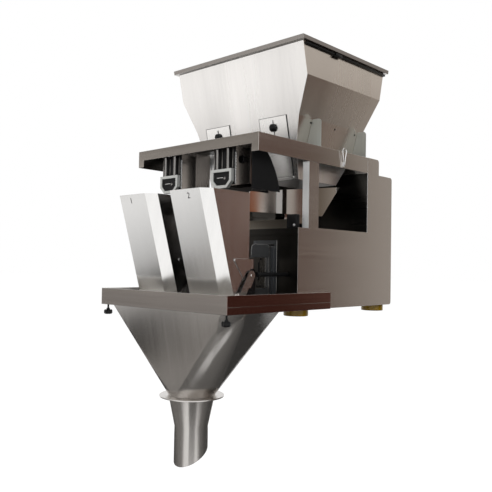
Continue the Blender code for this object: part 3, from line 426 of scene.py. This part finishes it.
def copies(model, name, places, facing, look, body):
    """A copy of a model, with its own mesh, at each place, turned from +Z to the facing."""
    turn = Vector(facing).to_track_quat("Z", "Y").to_matrix().to_4x4()
    for count, place in enumerate(places, 1):
        piece = bpy.data.objects.new(name, model.data.copy())
        bpy.context.scene.collection.objects.link(piece)
        piece.matrix_world = Matrix.Translation(place) @ turn
        settled(piece, f"{name}_{count}", look, body)


def discard(model):
    """Deletes a model once its copies are made."""
    only(model)
    bpy.ops.object.delete()


cap_screw = round_piece(0.0045, 0.0016, [(0.0006, 0.0006), (0.0016, 0.0), (0.0002, -0.0014)])
rear_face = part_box("rear_cover")[1][1] - 0.0020
rear_x, rear_low, rear_middle, rear_high = (-0.25, -0.085, 0.085, 0.25), 0.040, 0.215, 0.385
rear_places = [(x, rear_face, level) for level in (rear_low, rear_middle, rear_high) for x in rear_x
               if abs(x) > 0.2 or level != rear_middle]
copies(cap_screw, "rear_screw", rear_places, (0.0, 1.0, 0.0), bright, "frame")

# The feet: four turned discs of amber polyurethane, screwed under the base plate. The plastic
# is slightly cloudy and lets a little light through.
amber = bpy.data.materials.new("amber_polyurethane")
tree = nodes_of(amber)
surface = tree.nodes.new("ShaderNodeBsdfPrincipled")
place = tree.nodes.new("ShaderNodeTexCoord")
haze = tree.nodes.new("ShaderNodeTexNoise")
haze.inputs["Scale"].default_value = 60.0
link(tree, place, "Object", haze, "Vector")
tint = tree.nodes.new("ShaderNodeMix")
tint.data_type = "RGBA"
tint.inputs[6].default_value = (0.30, 0.17, 0.006, 1.0)
tint.inputs[7].default_value = (0.42, 0.26, 0.012, 1.0)
link(tree, haze, 0, tint, 0)
link(tree, tint, 2, surface, "Base Color")
link(tree, ranged(tree, haze, 0.3, 0.7, 0.14, 0.24), 0, surface, "Roughness")
surface.inputs["Transmission Weight"].default_value = 0.12
surface.inputs["Specular IOR Level"].default_value = 0.3
link(tree, surface, 0, tree.nodes.new("ShaderNodeOutputMaterial"), "Surface")
for end in ("front", "rear"):
    finished(f"foot_{end}", amber, 0.0012)

# The top frame: a folded band of sheet in two halves, latched together at the seam, with
# the cross beam that carries the gate drives and the gussets that hold the hopper.
frame_brush = brushed_steel("frame_brush", (0.60, 0.565, 0.53), 0.22, "level")
cover_front_shaded = brushed_steel("cover_front_shaded", (0.42, 0.39, 0.36), 0.22, "level")
# The cover's front band wears a darker copy of the sheet as painted shade. The underside and inward
# faces of the cover and rear frame, and the whole beam, wear the near-black painted shade.
finished("front_cover", frame_brush, 0.001,
         [(cover_front_shaded, lambda spot, facing: facing.y < -0.9),
          (inner_shade, lambda spot, facing: facing.z < -0.5 or facing.y > 0.5
           or facing.x * spot.x < -0.1)])
finished("rear_frame", frame_brush, 0.001,
         [(inner_shade, lambda spot, facing: facing.z < -0.5 or facing.x * spot.x < -0.1)])
finished("gate_beam", inner_shade)
gusset_brush = brushed_steel("gusset_brush", (0.41, 0.425, 0.40), 0.4, "upright", 0.08, 0.6)
for end in ("front", "rear"):
    finished(f"gusset_{end}", gusset_brush)

# The storage hopper: a welded funnel of brushed sheet with a folded rim and a divider. Rivets
# hold a stiffener inside each side, just under the crease, and a black clip sits under the rim.
# Black strips under the rim along the sides are painted shadow, and the faces wear lit and
# shaded copies of one brushed steel.
def turned_black(name, gloss):
    """Black moulded or painted surface, slightly mottled."""
    plastic = bpy.data.materials.new(name)
    tree = nodes_of(plastic)
    surface = tree.nodes.new("ShaderNodeBsdfPrincipled")
    place = tree.nodes.new("ShaderNodeTexCoord")
    grain = tree.nodes.new("ShaderNodeTexNoise")
    grain.inputs["Scale"].default_value = 900.0
    link(tree, place, "Object", grain, "Vector")
    surface.inputs["Base Color"].default_value = (0.006, 0.006, 0.0065, 1.0)
    surface.inputs["Specular IOR Level"].default_value = 0.2
    gloss_change = 0.06
    link(tree, ranged(tree, grain, 0.3, 0.7, gloss - gloss_change, gloss + gloss_change), 0,
         surface, "Roughness")
    relief = tree.nodes.new("ShaderNodeBump")
    relief.inputs["Strength"].default_value = 0.12
    relief.inputs["Distance"].default_value = 0.0002
    link(tree, grain, 0, relief, "Height")
    link(tree, relief, 0, surface, "Normal")
    link(tree, surface, 0, tree.nodes.new("ShaderNodeOutputMaterial"), "Surface")
    return plastic


# Painted light and shade on the hopper: the sides wear a darker, warmer copy of the sheet, the
# lower front and the rim's underside a mid grey, the rim's outer faces a dark grey, and the lower
# sides a near-white lit copy. The inside below the crease and the divider are near black as painted
# shade.
hopper_brush = brushed_steel("hopper_brush", (0.86, 0.85, 0.84), 0.26, "upright", 0.15, 1.0, 0.12)
hopper_side_shaded = brushed_steel("hopper_side_shaded", (0.70, 0.65, 0.595), 0.26, "upright",
                                  0.1, 1.0, 0.12)
# Black for the clip, rivets, gate edging, plate edges and hanger slots, and also painted as shadow
# under the rim and in the gate slots.
black_and_shadow = turned_black("black_and_shadow", 0.35)
rim_shaded = brushed_steel("rim_shaded", (0.30, 0.28, 0.265), 0.28, "level")
hopper_low_shaded = brushed_steel("hopper_low_shaded", (0.50, 0.48, 0.46), 0.24, "upright")
hopper_foot_lit = brushed_steel("hopper_foot_lit", (0.98, 0.98, 0.96), 0.3, "upright", 0.05)
hopper_shade = brushed_steel("hopper_shade", (0.10, 0.095, 0.09), 0.3, "upright")
hopper_middle_y, wall_top, rim_under = -0.05, 0.8, 0.8225
shade_top, low_top, foot_top, low_front = 0.56, 0.52, 0.50, -0.16


def outward(spot, facing):
    """Above 0 where a face of the hopper looks away from its middle."""
    return facing.x * spot.x + facing.y * (spot.y - hopper_middle_y)


finished("storage_hopper", hopper_brush, 0.0008,
         [(hopper_side_shaded, lambda spot, facing: facing.x * spot.x > 0.1),
          (hopper_shade, lambda spot, facing: spot.z < shade_top and outward(spot, facing) < 0),
          (hopper_low_shaded, lambda spot, facing: spot.z < low_top and facing.y < -0.5
           and spot.y < low_front),
          (hopper_foot_lit, lambda spot, facing: spot.z < foot_top and facing.x * spot.x > 0.1),
          (rim_shaded, lambda spot, facing: spot.z > rim_under and facing.z < 0.5
           and outward(spot, facing) > 0.1),
          (hopper_low_shaded, lambda spot, facing: spot.z > wall_top and facing.z < -0.5)], 10.0)
finished("hopper_divider", hopper_shade)
clip_low, clip_high = (0.2856, -0.120, 0.8115), (0.2926, -0.086, 0.8223)
rim_clip = bar(clip_low, clip_high, 0.0012)
settled(rim_clip, "rim_clip", black_and_shadow, "frame")
# Black strips under the rim along both sides, painted as the rim's shadow on the wall.
rim_shadow_x, rim_shadow_half, rim_shadow_low, rim_shadow_high = 0.28275, 0.00475, 0.8155, 0.8224
rim_shadow_front, rim_shadow_rear = -0.262, 0.179
for side, word in ((-1, "left"), (1, "right")):
    rim_shadow = bar((side * rim_shadow_x - rim_shadow_half, rim_shadow_front, rim_shadow_low),
               (side * rim_shadow_x + rim_shadow_half, rim_shadow_rear, rim_shadow_high), 0.0008)
    settled(rim_shadow, f"rim_shadow_strip_{word}", black_and_shadow, "frame")
rivet = round_piece(0.0032, 0.0006, [(0.0008, 0.0006), (0.0010, 0.0004)], 14)
crease_lean, rivet_half, rivet_height = 0.2675, 0.2262, 0.6035
rivet_spacing = (-0.16, -0.03, 0.085)
for side, word in ((-1, "left"), (1, "right")):
    rivet_places = [(side * rivet_half, y, rivet_height) for y in rivet_spacing]
    facing = (side * math.cos(crease_lean), 0.0, -math.sin(crease_lean))
    copies(rivet, f"crease_rivet_{word}", rivet_places, facing, black_and_shadow, "frame")
discard(rivet)

# The two outlet gates: plates that slide up the front of the hopper, edged in black, each
# clamped through its slot by a round knob.
gate_brush = brushed_steel("gate_brush", (0.98, 0.975, 0.965), 0.26, "upright", 0.03, 1.0, 0.12)
gate_slope = 0.2257
gate_lean = math.atan(gate_slope)
finished("gate_plate", gate_brush, 0.0004)
knob_black = turned_black("knob_black", 0.25)
finished("gate_knob", knob_black, 0.0004)
gate_x, gate_y, gate_z = 0.1245, -0.21972, 0.5915
gate_half, gate_rise, gate_drop, bead = 0.0562, 0.0327, 0.158, 0.0011
slot_half, slot_drop, slot_rise, slot_proud = 0.0016, 0.05, 0.028, 0.00025
for side, word in ((-1, "left"), (1, "right")):
    bpy.ops.object.select_all(action="DESELECT")
    bpy.ops.mesh.primitive_plane_add(size=1.0)
    edging = bpy.context.object
    edging.scale = (2 * (gate_half + bead), gate_rise + gate_drop + 2 * bead, 1.0)
    edging.location = (0.0, (gate_rise - gate_drop) / 2, 0.0)
    bpy.ops.object.transform_apply(location=True, rotation=True, scale=True)
    bpy.ops.object.mode_set(mode="EDIT")
    bpy.ops.mesh.select_all(action="SELECT")
    bpy.ops.mesh.inset(thickness=bead)
    bpy.ops.mesh.delete(type="FACE")
    bpy.ops.object.mode_set(mode="OBJECT")
    body = edging.modifiers.new("body", "SOLIDIFY")
    body.thickness, body.offset = 0.0022, 1.0
    bpy.ops.object.modifier_apply(modifier=body.name)
    edging.matrix_world = (Matrix.Translation((side * gate_x, gate_y - 0.0003, gate_z))
                           @ Matrix.Rotation(math.pi / 2 + gate_lean, 4, "X"))
    settled(edging, f"gate_edging_{word}", black_and_shadow, f"gate_plate_{word}")
    # A black strip over each knob's slot, painted as the shadow in the slot.
    slot_shadow = bar((-slot_half, 0.0, -slot_drop), (slot_half, slot_proud, slot_rise), 0.00005)
    slot_shadow.matrix_world = (Matrix.Translation((side * gate_x, gate_y - 0.00027, gate_z))
                              @ Matrix.Rotation(gate_lean, 4, "X"))
    settled(slot_shadow, f"gate_slot_shadow_{word}", black_and_shadow, "frame")

# The feeders: trough-shaped pans, their electromagnetic drives on the base plate, and the
# black leaf springs between them. A folded lip of the deck stands in front.
pan_brush = brushed_steel("pan_brush", (0.72, 0.69, 0.665), 0.08, "level", 0.04, 1.0, 0.1)
head_x = 0.119


def from_head(spot):
    """How far a place is to the outside of the nearer feeder's middle plane."""
    return abs(spot.x) - head_x


pan_rear = -0.1
# The pans' inward sides, upward faces and the inside of their rear walls wear the near-black
# painted shade.
finished("feeder_pan", pan_brush, 0.0006,
         [(inner_shade, lambda spot, facing: from_head(spot) * facing.x * spot.x < -0.001
           or facing.z > 0.3 or (facing.y < -0.3 and spot.y > pan_rear))])
cast_iron = turned_black("cast_iron_paint", 0.5)
finished("vibrator_drive", cast_iron, 0.001)
for end in ("front", "rear"):
    finished(f"leaf_spring_{end}", cast_iron, 0.0002)
lip_brush = brushed_steel("lip_brush", (0.26, 0.235, 0.20), 0.35, "level")
lip_half, lip_front, lip_back, lip_low, lip_high = 0.222, -0.2478, -0.2458, 0.2671, 0.2950
lip = bar((-lip_half, lip_front, lip_low), (lip_half, lip_back, lip_high), 0.0004)
only(lip)
bpy.ops.object.mode_set(mode="EDIT")
for side in (-1, 1):
    bpy.ops.mesh.select_all(action="SELECT")
    bpy.ops.mesh.bisect(plane_co=(side * lip_half, 0.0, lip_low), plane_no=(side * 0.93, 0.0, 0.37),
                        use_fill=True, clear_outer=True)
bpy.ops.object.mode_set(mode="OBJECT")
settled(lip, "deck_lip", lip_brush, "frame")
clamp_x, clamp_half, clamp_front, clamp_back, clamp_high = 0.227, 0.019, -0.2500, -0.2330, 0.3090
for side, word in ((-1, "left"), (1, "right")):
    clamp = bar((side * clamp_x - clamp_half, clamp_front, lip_low),
                (side * clamp_x + clamp_half, clamp_back, clamp_high), 0.002)
    settled(clamp, f"pan_clamp_{word}", cast_iron, "frame")
screw_x, screw_z = 0.238, 0.2760
copies(cap_screw, "clamp_screw", [(side * screw_x, clamp_front, screw_z) for side in (-1, 1)],
       (0.0, -1.0, 0.0), bright, "frame")

# The feed gates: sheet housings under the beam, and cast yokes that run on two bright rods.
# A black solenoid block fills each yoke, flat guide bars stand behind it, and a return spring
# hangs beside it.
# The housings wear a dark copy of the sheet, painted as shade under the beam.
housing_shade = brushed_steel("housing_shade", (0.26, 0.235, 0.215), 0.26, "upright")
rod_brush = brushed_steel("rod_brush", (0.27, 0.26, 0.25), 0.2, "upright")
finished("gate_housing", housing_shade)
yoke_cast = brushed_steel("yoke_cast", (0.60, 0.61, 0.59), 0.45, "level", 0.05, 0.5)
rod_foot = 0.434
finished("feed_gate_yoke", yoke_cast, 0.0008,
         [(rod_brush, lambda spot, facing: spot.z > rod_foot)])
block_half, block_front, block_back = 0.0315, -0.4445, -0.4355
block_low, block_corner, block_high, block_rim, block_dish = 0.3868, 0.3985, 0.4232, 0.003, 0.0015
stud_x, stud_front, stud_z = 0.013, -0.4430, 0.4045
link_from, link_to, link_front, link_low, link_high = -0.019, 0.006, -0.4442, 0.4062, 0.4080
backing_half, backing_front, backing_back, backing_low = 0.0445, -0.4318, -0.4302, 0.3860
guide_front, guide_back, guide_low, guide_high = -0.4336, -0.4319, 0.4345, 0.4970
guides = ((-0.0425, 0.0015, rod_brush, "bright_steel"),
          (-0.0340, 0.0020, cast_iron, "casting_iron"),
          (-0.0095, 0.0016, rod_brush, "bright_steel"),
          (0.0030, 0.0030, cast_iron, "casting_iron"),
          (0.0105, 0.0012, rod_brush, "bright_steel"),
          (0.0345, 0.0016, rod_brush, "bright_steel"))
wire_radius, spring_radius, spring_pitch, spring_turns = 0.0006, 0.0028, 0.0045, 20
spring_x, spring_y, spring_foot = 0.0485, -0.4345, 0.388
for side, word in ((-1, "left"), (1, "right")):
    middle = side * head_x
    block = bar((middle - block_half, block_front, block_low),
                (middle + block_half, block_back, block_high), 0.0012)
    only(block)
    bpy.ops.object.mode_set(mode="EDIT")
    for way in (-1, 1):
        bpy.ops.mesh.select_all(action="SELECT")
        bpy.ops.mesh.bisect(plane_co=(middle + way * block_half, 0.0, block_corner),
                            plane_no=(way, 0.0, -1.0), use_fill=True, clear_outer=True)
    choose(block, lambda spot, facing: facing.y < -0.9)
    bpy.ops.mesh.inset(thickness=block_rim)
    bpy.ops.transform.translate(value=(0.0, block_dish, 0.0))
    bpy.ops.object.mode_set(mode="OBJECT")
    settled(block, f"gate_solenoid_{word}", cast_iron, f"feed_gate_{word}")
    stud = round_piece(0.0042, 0.0012, [(0.0009, 0.0005), (0.0018, 0.0)], 16)
    stud.matrix_world = (Matrix.Translation((middle + stud_x, stud_front, stud_z))
                         @ Matrix.Rotation(math.pi / 2, 4, "X"))
    settled(stud, f"gate_stud_{word}", rod_brush, f"feed_gate_{word}")
    link_bar = bar((middle + link_from, link_front, link_low),
                   (middle + link_to, stud_front, link_high), 0.0003)
    settled(link_bar, f"gate_link_{word}", bright, f"feed_gate_{word}")
    backing = bar((middle - backing_half, backing_front, backing_low),
                  (middle + backing_half, backing_back, guide_high), 0.0004)
    settled(backing, f"gate_backing_{word}", cast_iron, "frame")
    for count, (x, half, look, slot) in enumerate(guides, 1):
        guide = bar((middle + x - half, guide_front, guide_low),
                    (middle + x + half, guide_back, guide_high), 0.0003)
        settled(guide, f"gate_guide_{word}_{count}", look, "frame")
    bpy.ops.object.select_all(action="DESELECT")
    bpy.ops.mesh.primitive_circle_add(vertices=6, radius=wire_radius, fill_type="NGON",
                                      rotation=(math.pi / 2, 0.0, 0.0),
                                      location=(spring_radius, 0.0, 0.0))
    spring = bpy.context.object
    bpy.ops.object.transform_apply(location=True, rotation=True, scale=True)
    coil = spring.modifiers.new("coil", "SCREW")
    coil.axis, coil.angle = "Z", math.tau
    coil.screw_offset, coil.iterations = spring_pitch, spring_turns
    coil.steps = coil.render_steps = 12
    bpy.ops.object.modifier_apply(modifier=coil.name)
    bpy.ops.object.mode_set(mode="EDIT")
    bpy.ops.mesh.select_all(action="SELECT")
    bpy.ops.mesh.remove_doubles(threshold=0.00001)
    bpy.ops.mesh.fill_holes(sides=8)
    bpy.ops.mesh.select_all(action="SELECT")
    bpy.ops.mesh.normals_make_consistent(inside=False)
    bpy.ops.object.mode_set(mode="OBJECT")
    spring.location = (middle + spring_x, spring_y, spring_foot)
    settled(spring, f"gate_spring_{word}", bright, "frame", 60.0)
stop_knob = round_piece(0.0118, 0.011, [(0.0012, 0.0012), (0.0040, 0.0004)], 24)
only(stop_knob)
bpy.ops.object.mode_set(mode="EDIT")
choose(stop_knob, lambda spot, facing: facing.z < -0.9)
stem_inset, stem_length = 0.0068, 0.013
bpy.ops.mesh.inset(thickness=stem_inset)
bpy.ops.mesh.extrude_region_move(TRANSFORM_OT_translate={"value": (0.0, 0.0, -stem_length)})
bpy.ops.object.mode_set(mode="OBJECT")
stop_knob_place = (0.1575, -0.3910, 0.4635)
copies(stop_knob, "housing_knob", [stop_knob_place], (0.0, -1.0, 0.0), knob_black, "frame")
discard(stop_knob)

# The dust skirt: a thin black rubber sheet that hangs from the top frame beside the right pan,
# cut to a long curve behind.
rubber_black = turned_black("rubber_black", 0.7)
skirt_in, skirt_out, skirt_front, skirt_rear = 0.2265, 0.2285, -0.4300, -0.3000
skirt_low, skirt_high = 0.3700, 0.5075
skirt = bar((skirt_in, skirt_front, skirt_low), (skirt_out, skirt_rear, skirt_high), 0.0002)
only(skirt)
bpy.ops.object.mode_set(mode="EDIT")
curve = [(-0.3714, 0.4872), (-0.3533, 0.469), (-0.3348, 0.4416), (-0.3206, 0.4134),
         (-0.3107, 0.3814)]
for (y1, z1), (y2, z2) in zip(curve, curve[1:]):
    bpy.ops.mesh.select_all(action="SELECT")
    bpy.ops.mesh.bisect(plane_co=(0.0, y1, z1), plane_no=(0.0, z1 - z2, y2 - y1), use_fill=True,
                        clear_outer=True)
bpy.ops.object.mode_set(mode="OBJECT")
settled(skirt, "dust_skirt_right", rubber_black, "frame")

# The weigh buckets: welded steel with an eight-sided section, numbered on the front. Each has
# a bottom door on two arms, a black hooked lever and the pushrod that works it.
bucket_brush = brushed_steel("bucket_brush", (0.84, 0.83, 0.815), 0.2, "upright", 0.05)
bucket_shade = brushed_steel("bucket_shade", (0.35, 0.34, 0.33), 0.2, "upright")
door_brush = brushed_steel("door_brush", (0.6, 0.57, 0.55), 0.25, "upright")
plate_x = 0.0895


def plate_edge(spot, facing):
    """Whether a face is the cut edge of a plate that stands out from a bucket's side."""
    return abs(from_head(spot)) > plate_x and abs(facing.x) < 0.97


finished("weigh_bucket", bucket_brush, 0.0006,
         [(bucket_shade, lambda spot, facing: facing.x * spot.x < -0.9 * abs(spot.x)
           and from_head(spot) < 0),
          (black_and_shadow, plate_edge)])
finished("bucket_door", door_brush, 0.0005, [(black_and_shadow, plate_edge)])
finished("door_lever", knob_black, 0.0004)
finished("door_plunger", cast_iron, 0.0004)
pin = round_piece(0.0036, 0.0008, [(0.0006, 0.0008), (0.0014, 0.0)], 18)
arm_face, bracket_face = 0.0975, 0.0911
door_pivot, bracket_pins = (-0.4115, 0.1228), ((-0.4735, 0.1655), (-0.4087, 0.0760))
for side, word in ((-1, "left"), (1, "right")):
    for way, end in ((-1, "inner"), (1, "outer")):
        out = side * head_x + way * side * arm_face
        near = side * head_x + way * side * bracket_face
        facing = (side * way, 0.0, 0.0)
        copies(pin, f"door_pin_{word}_{end}", [(out, *door_pivot)], facing, bright,
               f"bucket_door_{word}")
        copies(pin, f"bracket_pin_{word}_{end}", [(near, *place) for place in bracket_pins], facing,
               bright, "frame")
discard(pin)
front_slope, front_top_y, front_top = 0.286, -0.588, 0.36
front_lean = math.atan(front_slope)
number_height, number_size = 0.334, 0.024
number_y = front_top_y + front_slope * (front_top - number_height) - 0.0002
ink = turned_black("number_ink", 0.6)
number_places = (("1", -0.1346), ("2", 0.126))
for digit, x in number_places:
    bpy.ops.object.select_all(action="DESELECT")
    bpy.ops.object.text_add()
    number = bpy.context.object
    number.data.body, number.data.size, number.data.extrude = digit, number_size, 0.0001
    bpy.ops.object.convert(target="MESH")
    number = bpy.context.object
    only(number)
    bpy.ops.object.mode_set(mode="EDIT")
    bpy.ops.mesh.select_all(action="SELECT")
    bpy.ops.mesh.remove_doubles(threshold=0.00001)
    bpy.ops.object.mode_set(mode="OBJECT")
    number.matrix_world = (Matrix.Translation((x, number_y, number_height))
                           @ Matrix.Rotation(math.pi / 2 + front_lean, 4, "X"))
    settled(number, f"bucket_number_{digit}", ink, "frame")

# What carries each bucket: a pressed cover over the load cell, the cell itself, and a hanger
# of folded plate with three slots that the bucket hooks into.
cover_grey = brushed_steel("cover_grey", (0.13, 0.137, 0.145), 0.3, "upright", 0.05, 0.8)
cover_front, square_on = -0.26, 0.99
# The cover's front bevels wear bright steel as a painted highlight, and its rear bevels a darker
# steel as painted shade.
finished("head_cover", cover_grey, 0.0012,
         [(bright, lambda spot, facing: max(map(abs, facing)) < square_on and spot.y < cover_front),
          (rod_brush, lambda spot, facing: max(map(abs, facing)) < square_on
           and spot.y > cover_front)])
hanger_brush = brushed_steel("hanger_brush", (0.34, 0.32, 0.30), 0.28, "upright")
finished("bucket_hanger", hanger_brush, 0.0004)
hanger_half, liner_proud = 0.030, 0.0004
slots = ((-0.311, -0.305, 0.106, 0.162), (-0.3185, -0.2866, 0.0872, 0.0902),
         (-0.3036, -0.2956, 0.168, 0.1745))
for side, word in ((-1, "left"), (1, "right")):
    for way, end in ((-1, "inner"), (1, "outer")):
        face = side * (head_x + way * hanger_half)
        for count, (y1, y2, z1, z2) in enumerate(slots, 1):
            a, b = sorted((face, face + side * way * liner_proud))
            liner = bar((a, y1, z1), (b, y2, z2), 0.00015)
            settled(liner, f"hanger_slot_{word}_{end}_{count}", black_and_shadow, "frame")
finished("load_cell", yoke_cast)

# The collecting tray and square-to-round funnel, the spout flanged under it, and the two
# black star knobs that clamp them.
tray_brush = brushed_steel("tray_brush", (0.30, 0.275, 0.257), 0.24, "level")
tray_inside_lit = brushed_steel("tray_inside_lit", (0.85, 0.83, 0.80), 0.4, "level", 0.06, 0.6)
tray_side_reflection = brushed_steel("tray_side_reflection", (0.255, 0.128, 0.104), 0.24, "level")
# The tray's sides wear a red-brown painted reflection, and its upward and inward faces a light copy
# of the sheet as painted light.
finished("collecting_tray", tray_brush, 0.0008,
         [(tray_side_reflection, lambda spot, facing: facing.x * spot.x > 0.5 * abs(spot.x)),
          (tray_inside_lit, lambda spot, facing: facing.z > 0.9 or facing.x * spot.x < -0.1
           or (facing.y > 0.5 and spot.y < -0.57))])
hem_x, hem_half, hem_low, hem_high = 0.2833, 0.0004, 0.0400, 0.0412
hem_front, hem_rear = -0.5755, -0.1210
for side, word in ((-1, "left"), (1, "right")):
    hem = bar((side * hem_x - hem_half, hem_front, hem_low),
              (side * hem_x + hem_half, hem_rear, hem_high), 0.0002)
    settled(hem, f"tray_hem_{word}", tray_brush, "frame")
funnel_brush = brushed_steel("funnel_brush", (0.6, 0.575, 0.55), 0.22, "upright")
finished("collecting_funnel", funnel_brush)
finished("outlet_spout", funnel_brush)
finished("tray_knob", knob_black, 0.0004)
spout_y, bolt_circle, flange_low = -0.4369, 0.087, -0.2464
bolts = [(bolt_circle * math.cos(turn), spout_y + bolt_circle * math.sin(turn), flange_low)
         for turn in (math.tau * (step + 0.5) / 8 for step in range(8))]
copies(cap_screw, "flange_bolt", bolts, (0.0, 0.0, -1.0), bright, "frame")
discard(cap_screw)

# The toggle latches that hold the two halves of the top frame together, each a bent wire bail
# on a pressed bright base, and the moulded cable gland screwed into the rear cover.
finished("latch_base", bright, 0.0003)
finished("latch_bail", bright, 0)
finished("power_gland", knob_black, 0.0004)
